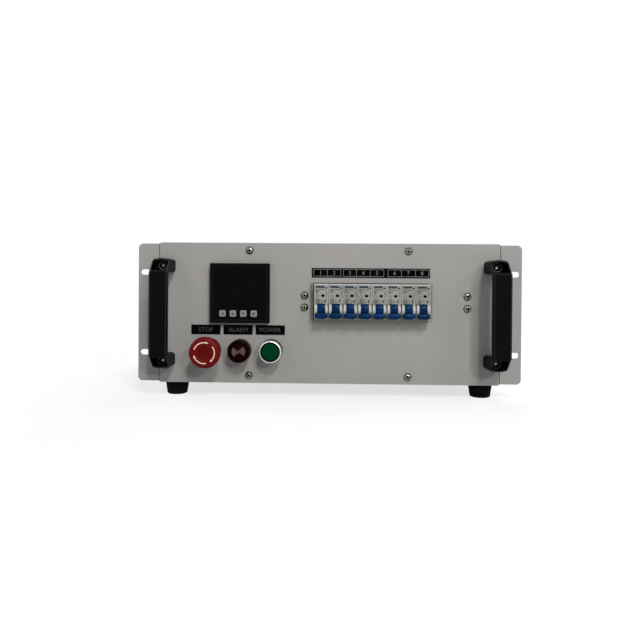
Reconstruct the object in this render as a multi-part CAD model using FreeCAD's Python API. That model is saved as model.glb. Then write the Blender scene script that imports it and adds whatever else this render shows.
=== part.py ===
"""A rack-mounting direct-current load bank, four rack units high, modelled as it is assembled.

A folded steel tray, a flat vented lid, a rear plate and a thick front plate make the case. Two
angle brackets carry it in a rack, two bridge handles pull it out and four rubber feet let it stand
on a bench. The front plate holds a square meter with four keys, a mushroom emergency stop, a
buzzer, a flush push button and a row of eight one-pole breakers on a rail. Inside, eight tube
resistors turn the current into heat, and two axial fans blow it out at the back, past the two
stud terminals and the mains inlet.

Millimetres. +Z is up, the front faces -Y, and the origin lies on the ground in the middle of the
whole object. A depth is measured from the front plate's face, positive towards the rear, and a
rise is measured upwards from the middle of the front plate.
"""
import FreeCAD
import Part
import math
import os

# Rack standard
rack_width = 482.6
rack_slot_span = 465.1
rack_slot_rise = 101.6
rack_slot_length = 12.0
rack_slot_width = 7.0

# Case
chassis_height = 175.0
chassis_depth = 420.0
sheet = 1.5
panel_lap = 1.0
panel_thickness = 3.0
panel_corner = 2.5
panel_seam = 0.8
lip_width = 18.0
lid_lip_width = 14.0
lid_screws_a_side = 4
vent_width = 3.2
vent_pitch = 10.0
side_vent_length = 44.0
side_vent_count = 16
side_vent_row_gap = 14.0
lid_vent_length = 96.0
lid_vent_count = 15
lid_vent_row_gap = 18.0
vent_field_depth = 226.0

# Rack ears
ear_reach = 26.3
ear_short = 0.5
ear_thickness = 2.0
ear_set_back = 1.0
ear_leg = 42.0
ear_corner = 6.0
ear_screws = 3
ear_screw_pitch = 60.0

# Handles
handle_reach = 40.0
handle_width = 23.0
handle_overhang = 2.0
handle_length = 136.0
handle_end_reach = 22.5
handle_foot_length = 17.5
handle_bar_thickness = 9.0
handle_hole_span = 118.0
handle_bulge = 2.2
handle_corner = 3.0
handle_ridge = 1.8
handle_bend = 2.6
handle_inner_bend = 5.0
handle_grip_round = 4.0
handle_wall = 1.6
handle_pocket_floor = 11.0
handle_boss_radius = 6.0
handle_boss_bore = 4.7
handle_boss_reach = 16.0

# Fasteners
pan_head_radius = 4.7
pan_head_height = 3.2
pan_shank_radius = 2.5
pan_shank_length = 9.0
cap_head_radius = 3.6
cap_head_height = 3.8
cap_socket_across = 3.6
cap_socket_depth = 2.2
small_head_radius = 3.6
small_head_height = 2.4
small_shank_radius = 1.9
small_shank_length = 6.5
hole_clearance = 0.25

# Places of the plate screws
plate_screw_span = 200.0
plate_screw_edge = 9.5

# Meter
meter_shift = -0.4
meter_rise = 25.0
meter_size = 75.0
meter_reach = 8.0
meter_body_size = 67.0
meter_body_depth = 78.0
meter_rim = 4.0
meter_window_thickness = 1.5
meter_window_sunk = 0.5
meter_corner = 1.2
meter_clamp_thickness = 5.0
meter_clamp_length = 40.0
meter_clamp_height = 12.0
meter_clamp_screw_length = 8.0
meter_clamp_screw_radius = 1.5
key_count = 4
key_size = 8.6
key_pitch = 13.1
key_row_shift = -1.8
key_row_rise = -25.6
key_length = 4.0
key_proud = 0.4
key_travel = 0.8
key_clearance = 0.2

# Twenty-two millimetre control devices
control_rise = -47.0
control_pitch = 39.3
control_hole_radius = 11.25
control_shank_radius = 11.0
control_collar_radius = 14.8
ring_nut_radius = 14.0
ring_nut_thickness = 4.5
running_clearance = 0.08

# Emergency stop
stop_head_radius = 19.5
stop_neck_radius = 13.0
stop_reach = 35.0
stop_rim_height = 6.5
stop_bevel_radius = 15.6
stop_bevel_height = 2.6
stop_teeth = 48
stop_tooth_depth = 0.7
stop_neck_reach = 15.5
stop_collar_height = 9.0
stop_stem_radius = 7.5
stop_stem_reach = 19.5
stop_pin_radius = 4.0
stop_pin_length = 9.0
stop_travel = 5.0
contact_block_width = 30.0
contact_block_height = 40.0
contact_block_depth = 36.0
shank_depth = 18.0

# Buzzer
buzzer_radius = 14.1
buzzer_reach = 19.0
buzzer_edge = 1.8
buzzer_face_radius = 10.8
buzzer_face_step = 0.8
buzzer_slots = 4
buzzer_slot_width = 0.9
buzzer_slot_pitch = 1.75
buzzer_slot_first = 2.6
buzzer_slot_depth = 1.0
buzzer_slot_half_angle = 42.0
buzzer_body_depth = 46.0

# Power button
button_reach = 20.0
button_base_radius = 14.3
button_base_height = 2.4
button_bezel_radius = 13.9
button_bezel_edge = 0.6
button_sleeve_radius = 12.1
button_cap_radius = 11.1
button_cap_thickness = 7.0
button_cap_sunk = 0.9
button_travel = 4.0

# Legend plates
legend_width = 36.8
legend_height = 11.8
legend_thickness = 0.8
legend_pitch = 40.8
legend_shift = -3.0
legend_rise = -21.3
strip_width = 148.0
strip_rise = 51.4

# Breakers
breaker_count = 8
module_count = 10
module_pitch = 18.0
module_gap = 0.3
breaker_rise = 15.0
breaker_height = 80.0
nose_height = 45.0
nose_reach = 12.0
nose_depth = 16.0
breaker_rail_depth = 60.0
breaker_hook = 4.0
hook_lip = 1.5
lever_pivot_drop = 9.3
lever_pivot_sunk = 6.0
lever_barrel_radius = 9.0
lever_barrel_width = 9.6
lever_cheek_radius = 8.8
lever_pad_start = 10.0
lever_pad_end = 15.5
lever_pad_width = 15.0
lever_pad_thickness = 5.5
lever_pad_edge = 1.4
lever_pad_corner = 2.6
lever_swing = 76.0
lever_side_clearance = 0.3
lever_round_clearance = 0.5
flag_width = 2.6
flag_height = 2.2
flag_rise = 8.6
flag_shift = 2.0
flag_depth = 0.6
clamp_screw_radius = 2.8
clamp_mouth_width = 8.0
clamp_mouth_depth = 9.0
clamp_mouth_inset = 13.0
cutout_clearance = 0.25
edging_wall = 1.0
edging_flange = 2.6
edging_flange_thickness = 0.8
blank_flange = 5.0

# Rail and its brackets
rail_height = 35.0
rail_depth = 7.5
rail_hat_height = 27.0
rail_thickness = 1.0
rail_screw_span = 204.0
rail_screw_pitch = 15.0
bracket_width = 17.0
bracket_height = 44.0
bracket_thickness = 2.0

# The front plate's spare width: shares left of the controls and right of the breakers
control_share = 0.331
breaker_share = 0.202

# Feet
foot_height = 18.0
foot_top_radius = 15.0
foot_bottom_radius = 12.5
foot_edge = 2.2
foot_inset_x = 20.0
foot_front_depth = 18.0
foot_rear_depth = 38.0
foot_screw_recess_radius = 5.5
foot_screw_recess_depth = 9.0

# Resistor bank
resistor_columns = 4
resistor_rows = 2
resistor_radius = 17.0
resistor_bore = 10.0
resistor_length = 300.0
resistor_column_pitch = 46.0
resistor_row_pitch = 62.0
resistor_first_depth = 152.0
resistor_first_height = 50.0
rod_radius = 4.0
rod_tail = 12.0
rod_nut_across = 13.0
rod_nut_thickness = 6.0
end_cap_radius = 15.0
end_cap_thickness = 4.0
end_cap_spigot = 5.0
support_thickness = 2.0
support_foot = 16.0
support_margin = 24.0

# Fans
fan_size = 120.0
fan_thickness = 38.0
fan_bore_radius = 57.0
fan_corner = 5.0
fan_hole_span = 105.0
fan_pitch = 132.0
fan_side_gap = 19.5
fan_hub_radius = 21.0
fan_hub_edge = 2.0
fan_motor_thickness = 9.0
fan_strut_width = 4.0
fan_strut_thickness = 5.0
fan_struts = 4
fan_strut_angle = 45.0
fan_blades = 7
fan_blade_gap = 1.6
fan_blade_root_pitch = 44.0
fan_blade_tip_pitch = 27.0
fan_blade_root_chord = 24.0
fan_blade_tip_chord = 46.0
fan_blade_lean = 6.0
fan_blade_camber = 1.6
fan_blade_thickness = 1.8
fan_shaft_radius = 2.5
fan_shaft_length = 6.0
fan_hub_gap = 1.2
guard_rings = 4
guard_wire = 2.0
guard_stand_off = 5.5
guard_eye_radius = 4.6
guard_eye_thickness = 1.2
guard_badge_radius = 12.0

# Rear terminals and inlet
terminal_side_gap = 91.0
terminal_pitch = 62.0
terminal_rise = 34.0
terminal_base_radius = 15.0
terminal_base_height = 12.0
stud_hex_across = 17.0
stud_hex_height = 7.0
stud_radius = 4.0
stud_length = 22.0
stud_shank_radius = 5.0
stud_tail = 22.0
inlet_side_gap = 91.0
inlet_rise = -40.0
inlet_flange_width = 50.0
inlet_flange_height = 26.0
inlet_flange_thickness = 3.0
inlet_body_width = 31.0
inlet_body_height = 23.0
inlet_body_depth = 26.0
inlet_socket_width = 24.6
inlet_socket_height = 16.6
inlet_socket_depth = 17.0
inlet_socket_chamfer = 4.0
inlet_pin_width = 2.0
inlet_pin_height = 4.0
inlet_pin_length = 14.0
inlet_pin_span = 14.0
inlet_earth_rise = 2.0
inlet_pin_drop = 2.0
inlet_screw_span = 40.0

# Contactor and shunt
contactor_width = 45.0
contactor_depth = 66.0
contactor_height = 74.0
contactor_side_gap = 13.0
contactor_depth_start = 62.0
shunt_side_gap = 18.5
shunt_depth_start = 92.0
shunt_block = 18.0
shunt_gap = 46.0
shunt_strip_thickness = 1.6

# Places worked out from the sizes above
stud_reach = terminal_base_height + stud_hex_height + stud_length
overall_depth = handle_reach + panel_thickness + chassis_depth + stud_reach
panel_face = handle_reach - overall_depth / 2
panel_back = panel_face + panel_thickness
rear_face = panel_back + chassis_depth
rear_inside = rear_face - sheet
case_bottom = foot_height
case_top = foot_height + chassis_height
floor_top = case_bottom + sheet
panel_middle = foot_height + chassis_height / 2
panel_height = chassis_height + 2 * panel_lap
ear_height = chassis_height - 2 * ear_short
plate_screw_rise = panel_height / 2 - plate_screw_edge
chassis_width = rack_width - 2 * ear_reach
panel_width = chassis_width - 2 * panel_seam
side_x = chassis_width / 2
terminal_x = side_x - terminal_side_gap
inlet_x = side_x - inlet_side_gap
handle_x = side_x + handle_overhang - handle_width / 2
handle_inner_x = handle_x - handle_width / 2
lip_inner_x = side_x - lip_width
controls_left = control_pitch + stop_head_radius
controls_right = meter_shift + meter_body_size / 2 + meter_clamp_thickness
rail_half_span = (rail_screw_span + bracket_width) / 2
spare_width = handle_inner_x + lip_inner_x - controls_left - controls_right - 2 * rail_half_span
control_x = controls_left + control_share * spare_width - handle_inner_x
meter_x = control_x + meter_shift
legend_x = control_x + legend_shift
breaker_row_x = lip_inner_x - breaker_share * spare_width - rail_half_span
left_fan_x = fan_size / 2 + fan_side_gap + sheet - side_x
contactor_x = side_x - sheet - contactor_side_gap - contactor_width / 2
shunt_x = contactor_x - contactor_width / 2 - shunt_side_gap - shunt_block - shunt_gap / 2
breaker_left = breaker_row_x - module_count * module_pitch / 2
breaker_right = breaker_left + breaker_count * module_pitch
edging_room = edging_wall + cutout_clearance
cutout_left = breaker_left - edging_room
cutout_right = breaker_row_x + module_count * module_pitch / 2 + edging_room
cutout_half_height = nose_height / 2 + edging_room
rail_plane = breaker_rail_depth - nose_reach
rail_length = rail_screw_span + bracket_width - 2 * (bracket_thickness + hole_clearance)

os.makedirs("parts", exist_ok=True)


def vec(x, y, z):
    return FreeCAD.Vector(x, y, z)


def at_depth(depth):
    """The Y of a depth measured from the front plate's face."""
    return panel_face + depth


def at_rise(rise):
    """The Z of a rise measured from the middle of the front plate."""
    return panel_middle + rise


def save(name, *solids):
    """Writes one node: its solids, each a separate piece, in one file named after the node."""
    Part.makeCompound(list(solids)).exportStep("parts/" + name + ".step")


def block(x0, x1, y0, y1, z0, z1):
    return Part.makeBox(x1 - x0, y1 - y0, z1 - z0, vec(x0, y0, z0))


def rod_y(x, z, y0, y1, radius):
    return Part.makeCylinder(radius, y1 - y0, vec(x, y0, z), vec(0, 1, 0))


def rod_z(x, y, z0, z1, radius):
    return Part.makeCylinder(radius, z1 - z0, vec(x, y, z0), vec(0, 0, 1))


def rod_x(y, z, x0, x1, radius):
    return Part.makeCylinder(radius, x1 - x0, vec(x0, y, z), vec(1, 0, 0))


def outline(corners, place):
    """A closed wire through corners (u, v) or (u, v, radius), rounded by tangent arcs."""
    count = len(corners)
    starts, ends, arcs = [], [], []
    for i in range(count):
        before, here, after = corners[i - 1], corners[i], corners[(i + 1) % count]
        radius = here[2] if len(here) > 2 else 0
        if radius <= 0:
            starts.append(here[:2])
            ends.append(here[:2])
            arcs.append(None)
            continue
        to_before = (before[0] - here[0], before[1] - here[1])
        to_after = (after[0] - here[0], after[1] - here[1])
        len_before, len_after = math.hypot(*to_before), math.hypot(*to_after)
        a = (to_before[0] / len_before, to_before[1] / len_before)
        b = (to_after[0] / len_after, to_after[1] / len_after)
        half = math.acos(max(-1.0, min(1.0, a[0] * b[0] + a[1] * b[1]))) / 2
        reach = radius / math.tan(half)
        middle = (a[0] + b[0], a[1] + b[1])
        size = math.hypot(*middle)
        off = radius / math.sin(half) - radius
        starts.append((here[0] + a[0] * reach, here[1] + a[1] * reach))
        ends.append((here[0] + b[0] * reach, here[1] + b[1] * reach))
        arcs.append((here[0] + middle[0] / size * off, here[1] + middle[1] / size * off))
    edges = []
    for i in range(count):
        if arcs[i]:
            edges.append(Part.Arc(place(*starts[i]), place(*arcs[i]), place(*ends[i])).toShape())
        here, after = place(*ends[i]), place(*starts[(i + 1) % count])
        if here.distanceToPoint(after) > 1e-6:
            edges.append(Part.LineSegment(here, after).toShape())
    return Part.Wire(edges)


def rectangle(u0, u1, v0, v1, radius=0.0):
    return [(u0, v0, radius), (u1, v0, radius), (u1, v1, radius), (u0, v1, radius)]


def plate(corners, y0, y1):
    """An X-Z outline pushed from y0 to y1."""
    wire = outline(corners, lambda u, v: vec(u, y0, v))
    return Part.Face(wire).extrude(vec(0, y1 - y0, 0))


def bar(corners, x0, x1):
    """A Y-Z outline pushed from x0 to x1."""
    wire = outline(corners, lambda u, v: vec(x0, u, v))
    return Part.Face(wire).extrude(vec(x1 - x0, 0, 0))


def post(corners, z0, z1):
    """An X-Y outline pushed from z0 to z1."""
    wire = outline(corners, lambda u, v: vec(u, v, z0))
    return Part.Face(wire).extrude(vec(0, 0, z1 - z0))


def turned(x, z, corners):
    """A half outline of (radius, y) corners turned about the line through (x, z) along Y."""
    wire = outline(corners, lambda u, v: vec(x + u, v, z))
    return Part.Face(wire).revolve(vec(x, 0, z), vec(0, 1, 0), 360)


def mirrored(shape):
    """The same piece on the other side of the middle plane X = 0."""
    return shape.mirror(vec(0, 0, 0), vec(1, 0, 0))


def pan_screw(x, z, y, length, head=pan_head_radius, height=pan_head_height,
              shank=pan_shank_radius):
    """A domed screw whose head sits on a plane facing -Y at y."""
    return turned(x, z, [(0, y + length), (0, y - height), (head * 0.55, y - height),
                         (head * 0.86, y - height * 0.78), (head, y - height * 0.4), (head, y),
                         (shank, y), (shank, y + length)])


def turn_to(shape, x, y, z, toward):
    """A screw made at (0, 0, 0), head to -Y, moved to (x, y, z) with its head toward a direction."""
    spin = FreeCAD.Rotation(vec(0, -1, 0), vec(*toward))
    moved = shape.copy()
    moved.Placement = FreeCAD.Placement(vec(x, y, z), spin)
    return moved


def small_screw():
    return pan_screw(0, 0, 0, small_shank_length, small_head_radius, small_head_height,
                     small_shank_radius)


def cut_all(shape, cutters):
    return shape.cut(Part.makeCompound(cutters)) if cutters else shape


def join(first, *others):
    return first.fuse(list(others)).removeSplitter()


# Tray, lid, rear plate and crossbars
def crossbar_screw_points():
    """(x, rise) of the screws that hold the front plate to the case."""
    return [(sx * plate_screw_span / 2, sz * plate_screw_rise) for sx in (-1, 1) for sz in (-1, 1)]


def lid_screw_points():
    """(x, y) of the screws that hold the lid to the tray's side lips."""
    edge = lid_lip_width / 2
    first, last = panel_back + 2 * lip_width, rear_inside - 2 * lip_width
    step = (last - first) / (lid_screws_a_side - 1)
    return [(side * (side_x - edge), first + i * step)
            for side in (-1, 1) for i in range(lid_screws_a_side)]


def ear_screw_points():
    """(y, z) of the screws that hold each ear to the tray's side."""
    y = at_depth(ear_set_back + ear_leg - 14)
    middle = (ear_screws - 1) / 2
    return [(y, at_rise((i - middle) * ear_screw_pitch)) for i in range(ear_screws)]


def rear_screw_points():
    """(x, z) of the screws that hold the rear plate: down each side, and top and bottom."""
    edge = lip_width / 2
    span = side_x - edge
    rise = chassis_height / 2 - edge
    sides = [(sx * span, panel_middle + sz * rise) for sx in (-1, 1) for sz in (-1, 0, 1)]
    return sides + [(0, panel_middle + rise), (0, panel_middle - rise)]


def foot_points():
    x = side_x - foot_inset_x
    return {"front_left": (-x, at_depth(foot_front_depth)),
            "front_right": (x, at_depth(foot_front_depth)),
            "rear_left": (-x, rear_face - foot_rear_depth),
            "rear_right": (x, rear_face - foot_rear_depth)}


def small_hole(axis_rod, *place):
    return axis_rod(*place, small_shank_radius + hole_clearance)


def side_vents():
    """Upright slots in two rows, cut through both side walls."""
    middle = at_depth(vent_field_depth)
    slots = []
    for i in range(side_vent_count):
        y = middle + (i - (side_vent_count - 1) / 2) * vent_pitch
        for row in (-1, 1):
            z = panel_middle + row * (side_vent_length + side_vent_row_gap) / 2
            slots.append(block(-side_x - 1, side_x + 1, y - vent_width / 2, y + vent_width / 2,
                               z - side_vent_length / 2, z + side_vent_length / 2))
    return slots


def tray():
    """Floor, two side walls, and the inward lips that the plates and the lid are screwed to."""
    wall_top = case_top - sheet
    floor = block(-side_x, side_x, panel_back, rear_inside, case_bottom, floor_top)
    pieces = []
    for side in (-1, 1):
        outer, inner = side * side_x, side * (side_x - sheet)
        x0, x1 = min(outer, inner), max(outer, inner)
        pieces.append(block(x0, x1, panel_back, rear_inside, floor_top, wall_top))
        lip_end = side * (side_x - lip_width)
        x0, x1 = min(inner, lip_end), max(inner, lip_end)
        pieces.append(block(x0, x1, panel_back, panel_back + sheet, floor_top, wall_top))
        pieces.append(block(x0, x1, rear_inside - sheet, rear_inside, floor_top, wall_top))
        lid_end = side * (side_x - lid_lip_width)
        x0, x1 = min(inner, lid_end), max(inner, lid_end)
        pieces.append(block(x0, x1, panel_back + sheet, rear_inside - sheet,
                            wall_top - sheet, wall_top))
    lip_x = side_x - lip_width
    for y in (panel_back, rear_inside - sheet):
        pieces.append(block(-lip_x, lip_x, y, y + sheet, floor_top, floor_top + lip_width))
    cuts = side_vents()
    for x, rise in crossbar_screw_points():
        if rise < 0:
            cuts.append(rod_y(x, at_rise(rise), panel_back - 1, panel_back + sheet + 1,
                              pan_shank_radius + hole_clearance))
    for side in (-1, 1):
        for sz in (-1, 1):
            z = at_rise(sz * handle_hole_span / 2)
            cuts.append(rod_y(side * handle_x, z, panel_back - 1, panel_back + sheet + 1,
                              pan_shank_radius + hole_clearance))
    for x, y in lid_screw_points():
        cuts.append(small_hole(rod_z, x, y, wall_top - 2 * sheet, case_top + 1))
    for y, z in ear_screw_points():
        cuts.append(small_hole(rod_x, y, z, -side_x - 1, -side_x + 2 * sheet))
        cuts.append(small_hole(rod_x, y, z, side_x - 2 * sheet, side_x + 1))
    for x, z in rear_screw_points():
        cuts.append(small_hole(rod_y, x, z, rear_inside - 2 * sheet, rear_face + 1))
    for x, y in list(foot_points().values()) + support_screw_points():
        cuts.append(small_hole(rod_z, x, y, case_bottom - 1, floor_top + 1))
    return cut_all(join(floor, *pieces), cuts)


def crossbar(face, inward):
    """An angle bar under the lid. face is the Y of its upright leg's outer side, inward +1 or -1."""
    top = case_top - sheet
    x = side_x - lip_width - hole_clearance
    corners = [(face, top), (face, top - lip_width - 2), (face + inward * sheet, top - lip_width - 2),
               (face + inward * sheet, top - sheet), (face + inward * lip_width, top - sheet),
               (face + inward * lip_width, top)]
    angle = bar(corners, -x, x)
    if inward > 0:
        radius = pan_shank_radius + hole_clearance
        points = [(sx, at_rise(rise)) for sx, rise in crossbar_screw_points() if rise > 0]
    else:
        radius = small_shank_radius + hole_clearance
        points = [(sx, z) for sx, z in rear_screw_points() if abs(sx) < x and z > panel_middle]
    return cut_all(angle, [rod_y(sx, z, face - 2 * sheet, face + 2 * sheet, radius)
                           for sx, z in points])


def lid():
    """The flat top, vented above the resistors."""
    top = block(-side_x, side_x, panel_back, rear_inside, case_top - sheet, case_top)
    middle = at_depth(vent_field_depth)
    cuts = []
    for i in range(lid_vent_count):
        y = middle + (i - (lid_vent_count - 1) / 2) * vent_pitch
        for row in (-1, 1):
            x = row * (lid_vent_length + lid_vent_row_gap) / 2
            cuts.append(block(x - lid_vent_length / 2, x + lid_vent_length / 2,
                              y - vent_width / 2, y + vent_width / 2, case_top - 5, case_top + 5))
    for x, y in lid_screw_points():
        cuts.append(small_hole(rod_z, x, y, case_top - 5, case_top + 5))
    return cut_all(top, cuts)


def fan_centres():
    return {"left": left_fan_x, "right": left_fan_x + fan_pitch}


def fan_hole_points(x):
    half = fan_hole_span / 2
    return [(x + sx * half, panel_middle + sz * half) for sx in (-1, 1) for sz in (-1, 1)]


def terminal_points():
    return {"positive": terminal_x - terminal_pitch / 2, "negative": terminal_x + terminal_pitch / 2}


def rear_plate():
    """Closes the back, with the fans' openings and the holes for the terminals and the inlet."""
    back = block(-side_x, side_x, rear_inside, rear_face, case_bottom, case_top)
    cuts = []
    for x in fan_centres().values():
        cuts.append(rod_y(x, panel_middle, rear_inside - 1, rear_face + 1, fan_bore_radius))
        for hx, hz in fan_hole_points(x):
            cuts.append(small_hole(rod_y, hx, hz, rear_inside - 1, rear_face + 1))
    for x in terminal_points().values():
        cuts.append(rod_y(x, at_rise(terminal_rise), rear_inside - 1, rear_face + 1,
                          stud_shank_radius + 2))
    w, h = inlet_body_width / 2 + hole_clearance, inlet_body_height / 2 + hole_clearance
    z = at_rise(inlet_rise)
    cuts.append(block(inlet_x - w, inlet_x + w, rear_inside - 1, rear_face + 1, z - h, z + h))
    for side in (-1, 1):
        cuts.append(small_hole(rod_y, inlet_x + side * inlet_screw_span / 2, z,
                               rear_inside - 1, rear_face + 1))
    for x, hz in rear_screw_points():
        cuts.append(small_hole(rod_y, x, hz, rear_inside - 1, rear_face + 1))
    return cut_all(back, cuts)


# Front plate
def control_centres():
    return {"stop": control_x - control_pitch, "buzzer": control_x,
            "power": control_x + control_pitch}


def rail_screw_points():
    """(x, rise) of the screws that hold the two rail brackets."""
    return [(breaker_row_x + sx * rail_screw_span / 2, breaker_rise + sz * rail_screw_pitch / 2)
            for sx in (-1, 1) for sz in (-1, 1)]


def rail_end_points():
    """(x, z) of the screws that hold the rail's ends to its brackets."""
    return [(breaker_row_x + side * rail_screw_span / 2, at_rise(breaker_rise))
            for side in (-1, 1)]


def front_plate():
    w, h = panel_width / 2, panel_height / 2
    y0, y1 = panel_face, panel_back
    face = plate(rectangle(-w, w, panel_middle - h, panel_middle + h, panel_corner), y0, y1)
    m = meter_body_size / 2 + hole_clearance
    z = at_rise(meter_rise)
    cuts = [block(meter_x - m, meter_x + m, y0 - 1, y1 + 1, z - m, z + m)]
    z = at_rise(breaker_rise)
    cuts.append(block(cutout_left, cutout_right, y0 - 1, y1 + 1,
                      z - cutout_half_height, z + cutout_half_height))
    for x in control_centres().values():
        cuts.append(rod_y(x, at_rise(control_rise), y0 - 1, y1 + 1, control_hole_radius))
    screw_hole = pan_shank_radius + hole_clearance
    for x, rise in crossbar_screw_points() + rail_screw_points():
        cuts.append(rod_y(x, at_rise(rise), y0 - 1, y1 + 1, screw_hole))
    for side in (-1, 1):
        for sz in (-1, 1):
            cuts.append(rod_y(side * handle_x, at_rise(sz * handle_hole_span / 2),
                              y0 - 1, y1 + 1, screw_hole))
    return cut_all(face, cuts)


# Rack ears and handles
def right_ear():
    """An angle: a slotted flange outwards and a leg along the tray's side."""
    x0, x1 = side_x, rack_width / 2
    front = at_depth(ear_set_back)
    z0, z1 = panel_middle - ear_height / 2, panel_middle + ear_height / 2
    flange = plate([(x0, z0), (x1, z0, ear_corner), (x1, z1, ear_corner), (x0, z1)],
                   front, front + ear_thickness)
    leg = block(x0, x0 + ear_thickness, front, front + ear_leg, z0, z1)
    cuts = []
    length, half = rack_slot_length / 2, rack_slot_width / 2
    x = rack_slot_span / 2
    for sz in (-1, 1):
        z = at_rise(sz * rack_slot_rise / 2)
        slot = rectangle(x - length, x + length, z - half, z + half, half)
        cuts.append(plate(slot, front - 1, front + ear_thickness + 1))
    for y, z in ear_screw_points():
        cuts.append(small_hole(rod_x, y, z, x0 - 1, x0 + ear_thickness + 1))
    return cut_all(join(flange, leg), cuts)


def handle_plan(inset, y0, y1):
    """The handle's outline seen from the front: straight sides, rounded corners, arched ends."""
    x0, x1 = handle_x - handle_width / 2 + inset, handle_x + handle_width / 2 - inset
    half = handle_length / 2 - inset
    low, high = panel_middle - half + handle_bulge, panel_middle + half - handle_bulge
    edges = [Part.LineSegment(vec(x1, y0, low), vec(x1, y0, high)).toShape(),
             Part.Arc(vec(x1, y0, high), vec(handle_x, y0, high + handle_bulge),
                      vec(x0, y0, high)).toShape(),
             Part.LineSegment(vec(x0, y0, high), vec(x0, y0, low)).toShape(),
             Part.Arc(vec(x0, y0, low), vec(handle_x, y0, low - handle_bulge),
                      vec(x1, y0, low)).toShape()]
    prism = Part.Face(Part.Wire(edges)).extrude(vec(0, y1 - y0, 0))
    corners = [e for e in prism.Edges if e.BoundBox.YLength > (y1 - y0) / 2]
    return prism.makeFillet(handle_corner - inset, corners)


def handle_blank():
    """The handle before its pockets: feet, sloped ends and bar, with bevelled front edges."""
    half, foot_end = handle_length / 2, handle_length / 2 - handle_foot_length
    slope = handle_reach - handle_end_reach
    bar_back = handle_reach - handle_bar_thickness
    mid = panel_middle
    bend = handle_bend
    side = [(at_depth(0), mid - half), (at_depth(-handle_end_reach), mid - half, bend),
            (at_depth(-handle_reach), mid - half + slope, bend),
            (at_depth(-handle_reach), mid + half - slope, bend),
            (at_depth(-handle_end_reach), mid + half, bend), (at_depth(0), mid + half),
            (at_depth(0), mid + foot_end), (at_depth(-bar_back), mid + foot_end, handle_inner_bend),
            (at_depth(-bar_back), mid - foot_end, handle_inner_bend), (at_depth(0), mid - foot_end)]
    w = handle_width / 2
    blank = bar(side, handle_x - w, handle_x + w)
    blank = blank.makeChamfer(handle_ridge, [e for e in blank.Edges if is_handle_ridge(e)])
    blank = blank.makeFillet(handle_grip_round, [e for e in blank.Edges if is_grip_back(e)])
    return blank.common(handle_plan(0, at_depth(-handle_reach - 1), at_depth(0)))


def on_handle_side(edge):
    """True for an edge that lies in one of the handle's two flat sides."""
    box = edge.BoundBox
    return abs(abs(box.Center.x - handle_x) - handle_width / 2) < 0.01 and box.XLength < 0.01


def is_handle_ridge(edge):
    """True for the long front edges of the bar and the slopes."""
    ahead_of_grip = edge.BoundBox.YMin < at_depth(handle_bar_thickness - handle_reach) - 0.1
    return on_handle_side(edge) and ahead_of_grip and edge.Length > 5


def is_grip_back(edge):
    """True for the two long edges behind the bar, where the fingers close."""
    box = edge.BoundBox
    at_back = abs(box.Center.y - at_depth(handle_bar_thickness - handle_reach)) < 0.01
    return on_handle_side(edge) and at_back and box.ZLength > handle_length / 2


def right_handle():
    """A bridge handle: each sloped end is a pocket with a boss round the screw at its bottom."""
    y_top, y_floor = at_depth(-handle_reach - 1), at_depth(-handle_pocket_floor)
    pockets = handle_plan(handle_wall, y_top, y_floor)
    span = handle_length / 2 - handle_foot_length + handle_wall
    pockets = pockets.cut(block(handle_x - handle_width, handle_x + handle_width, y_top, y_floor,
                                panel_middle - span, panel_middle + span))
    body = handle_blank().cut(pockets)
    points = [at_rise(sz * handle_hole_span / 2) for sz in (-1, 1)]
    bosses = [rod_y(handle_x, z, at_depth(-handle_boss_reach), y_floor + 1, handle_boss_radius)
              for z in points]
    body = join(body, *bosses)
    cuts = [rod_y(handle_x, z, y_top, y_floor, handle_boss_bore) for z in points]
    cuts += [rod_y(handle_x, z, y_floor - 1, at_depth(1), pan_shank_radius + hole_clearance)
             for z in points]
    return cut_all(body, cuts)


def handle_screws():
    """Socket-headed screws at the bottom of the handles' pockets."""
    screws = []
    for side in (-1, 1):
        for sz in (-1, 1):
            z = at_rise(sz * handle_hole_span / 2)
            x = side * handle_x
            seat = at_depth(-handle_pocket_floor)
            head = rod_y(x, z, seat - cap_head_height, seat, cap_head_radius)
            shank = rod_y(x, z, seat, panel_back + 2 * sheet, pan_shank_radius)
            screw = join(head, shank)
            top = seat - cap_head_height
            socket = plate(hexagon(x, z, cap_socket_across), top - 1, top + cap_socket_depth)
            screws.append(screw.cut(socket))
    return screws


def hexagon(x, z, across):
    radius = across / math.sqrt(3)
    return [(x + radius * math.cos(math.radians(60 * i)),
             z + radius * math.sin(math.radians(60 * i))) for i in range(6)]


# Screws on the case
def case_screws():
    """Small domed screws of the lid, rear plate, ears, inlet, supports, rail and feet."""
    screw = small_screw()
    made = [turn_to(screw, x, y, case_top, (0, 0, 1)) for x, y in lid_screw_points()]
    made += [turn_to(screw, x, rear_face, z, (0, 1, 0)) for x, z in rear_screw_points()]
    ear_face = side_x + ear_thickness
    for y, z in ear_screw_points():
        made.append(turn_to(screw, ear_face, y, z, (1, 0, 0)))
        made.append(turn_to(screw, -ear_face, y, z, (-1, 0, 0)))
    for side in (-1, 1):
        made.append(turn_to(screw, inlet_x + side * inlet_screw_span / 2,
                            rear_face + inlet_flange_thickness, at_rise(inlet_rise), (0, 1, 0)))
    for x, y in support_screw_points():
        made.append(turn_to(screw, x, y, case_bottom, (0, 0, -1)))
    rail_floor = at_depth(rail_plane + rail_depth - rail_thickness)
    for x, z in rail_end_points():
        made.append(turn_to(screw, x, rail_floor, z, (0, -1, 0)))
    return made + foot_screws()


def support_screw_points():
    """(x, y) of the screws through the floor into the resistor supports' feet."""
    x = resistor_length / 2 + end_cap_thickness + support_thickness + (support_foot
                                                                      - support_thickness) / 2
    depths = [y for y, z in resistor_centres()]
    return [(side * x, y) for side in (-1, 1) for y in (min(depths), max(depths))]


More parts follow.
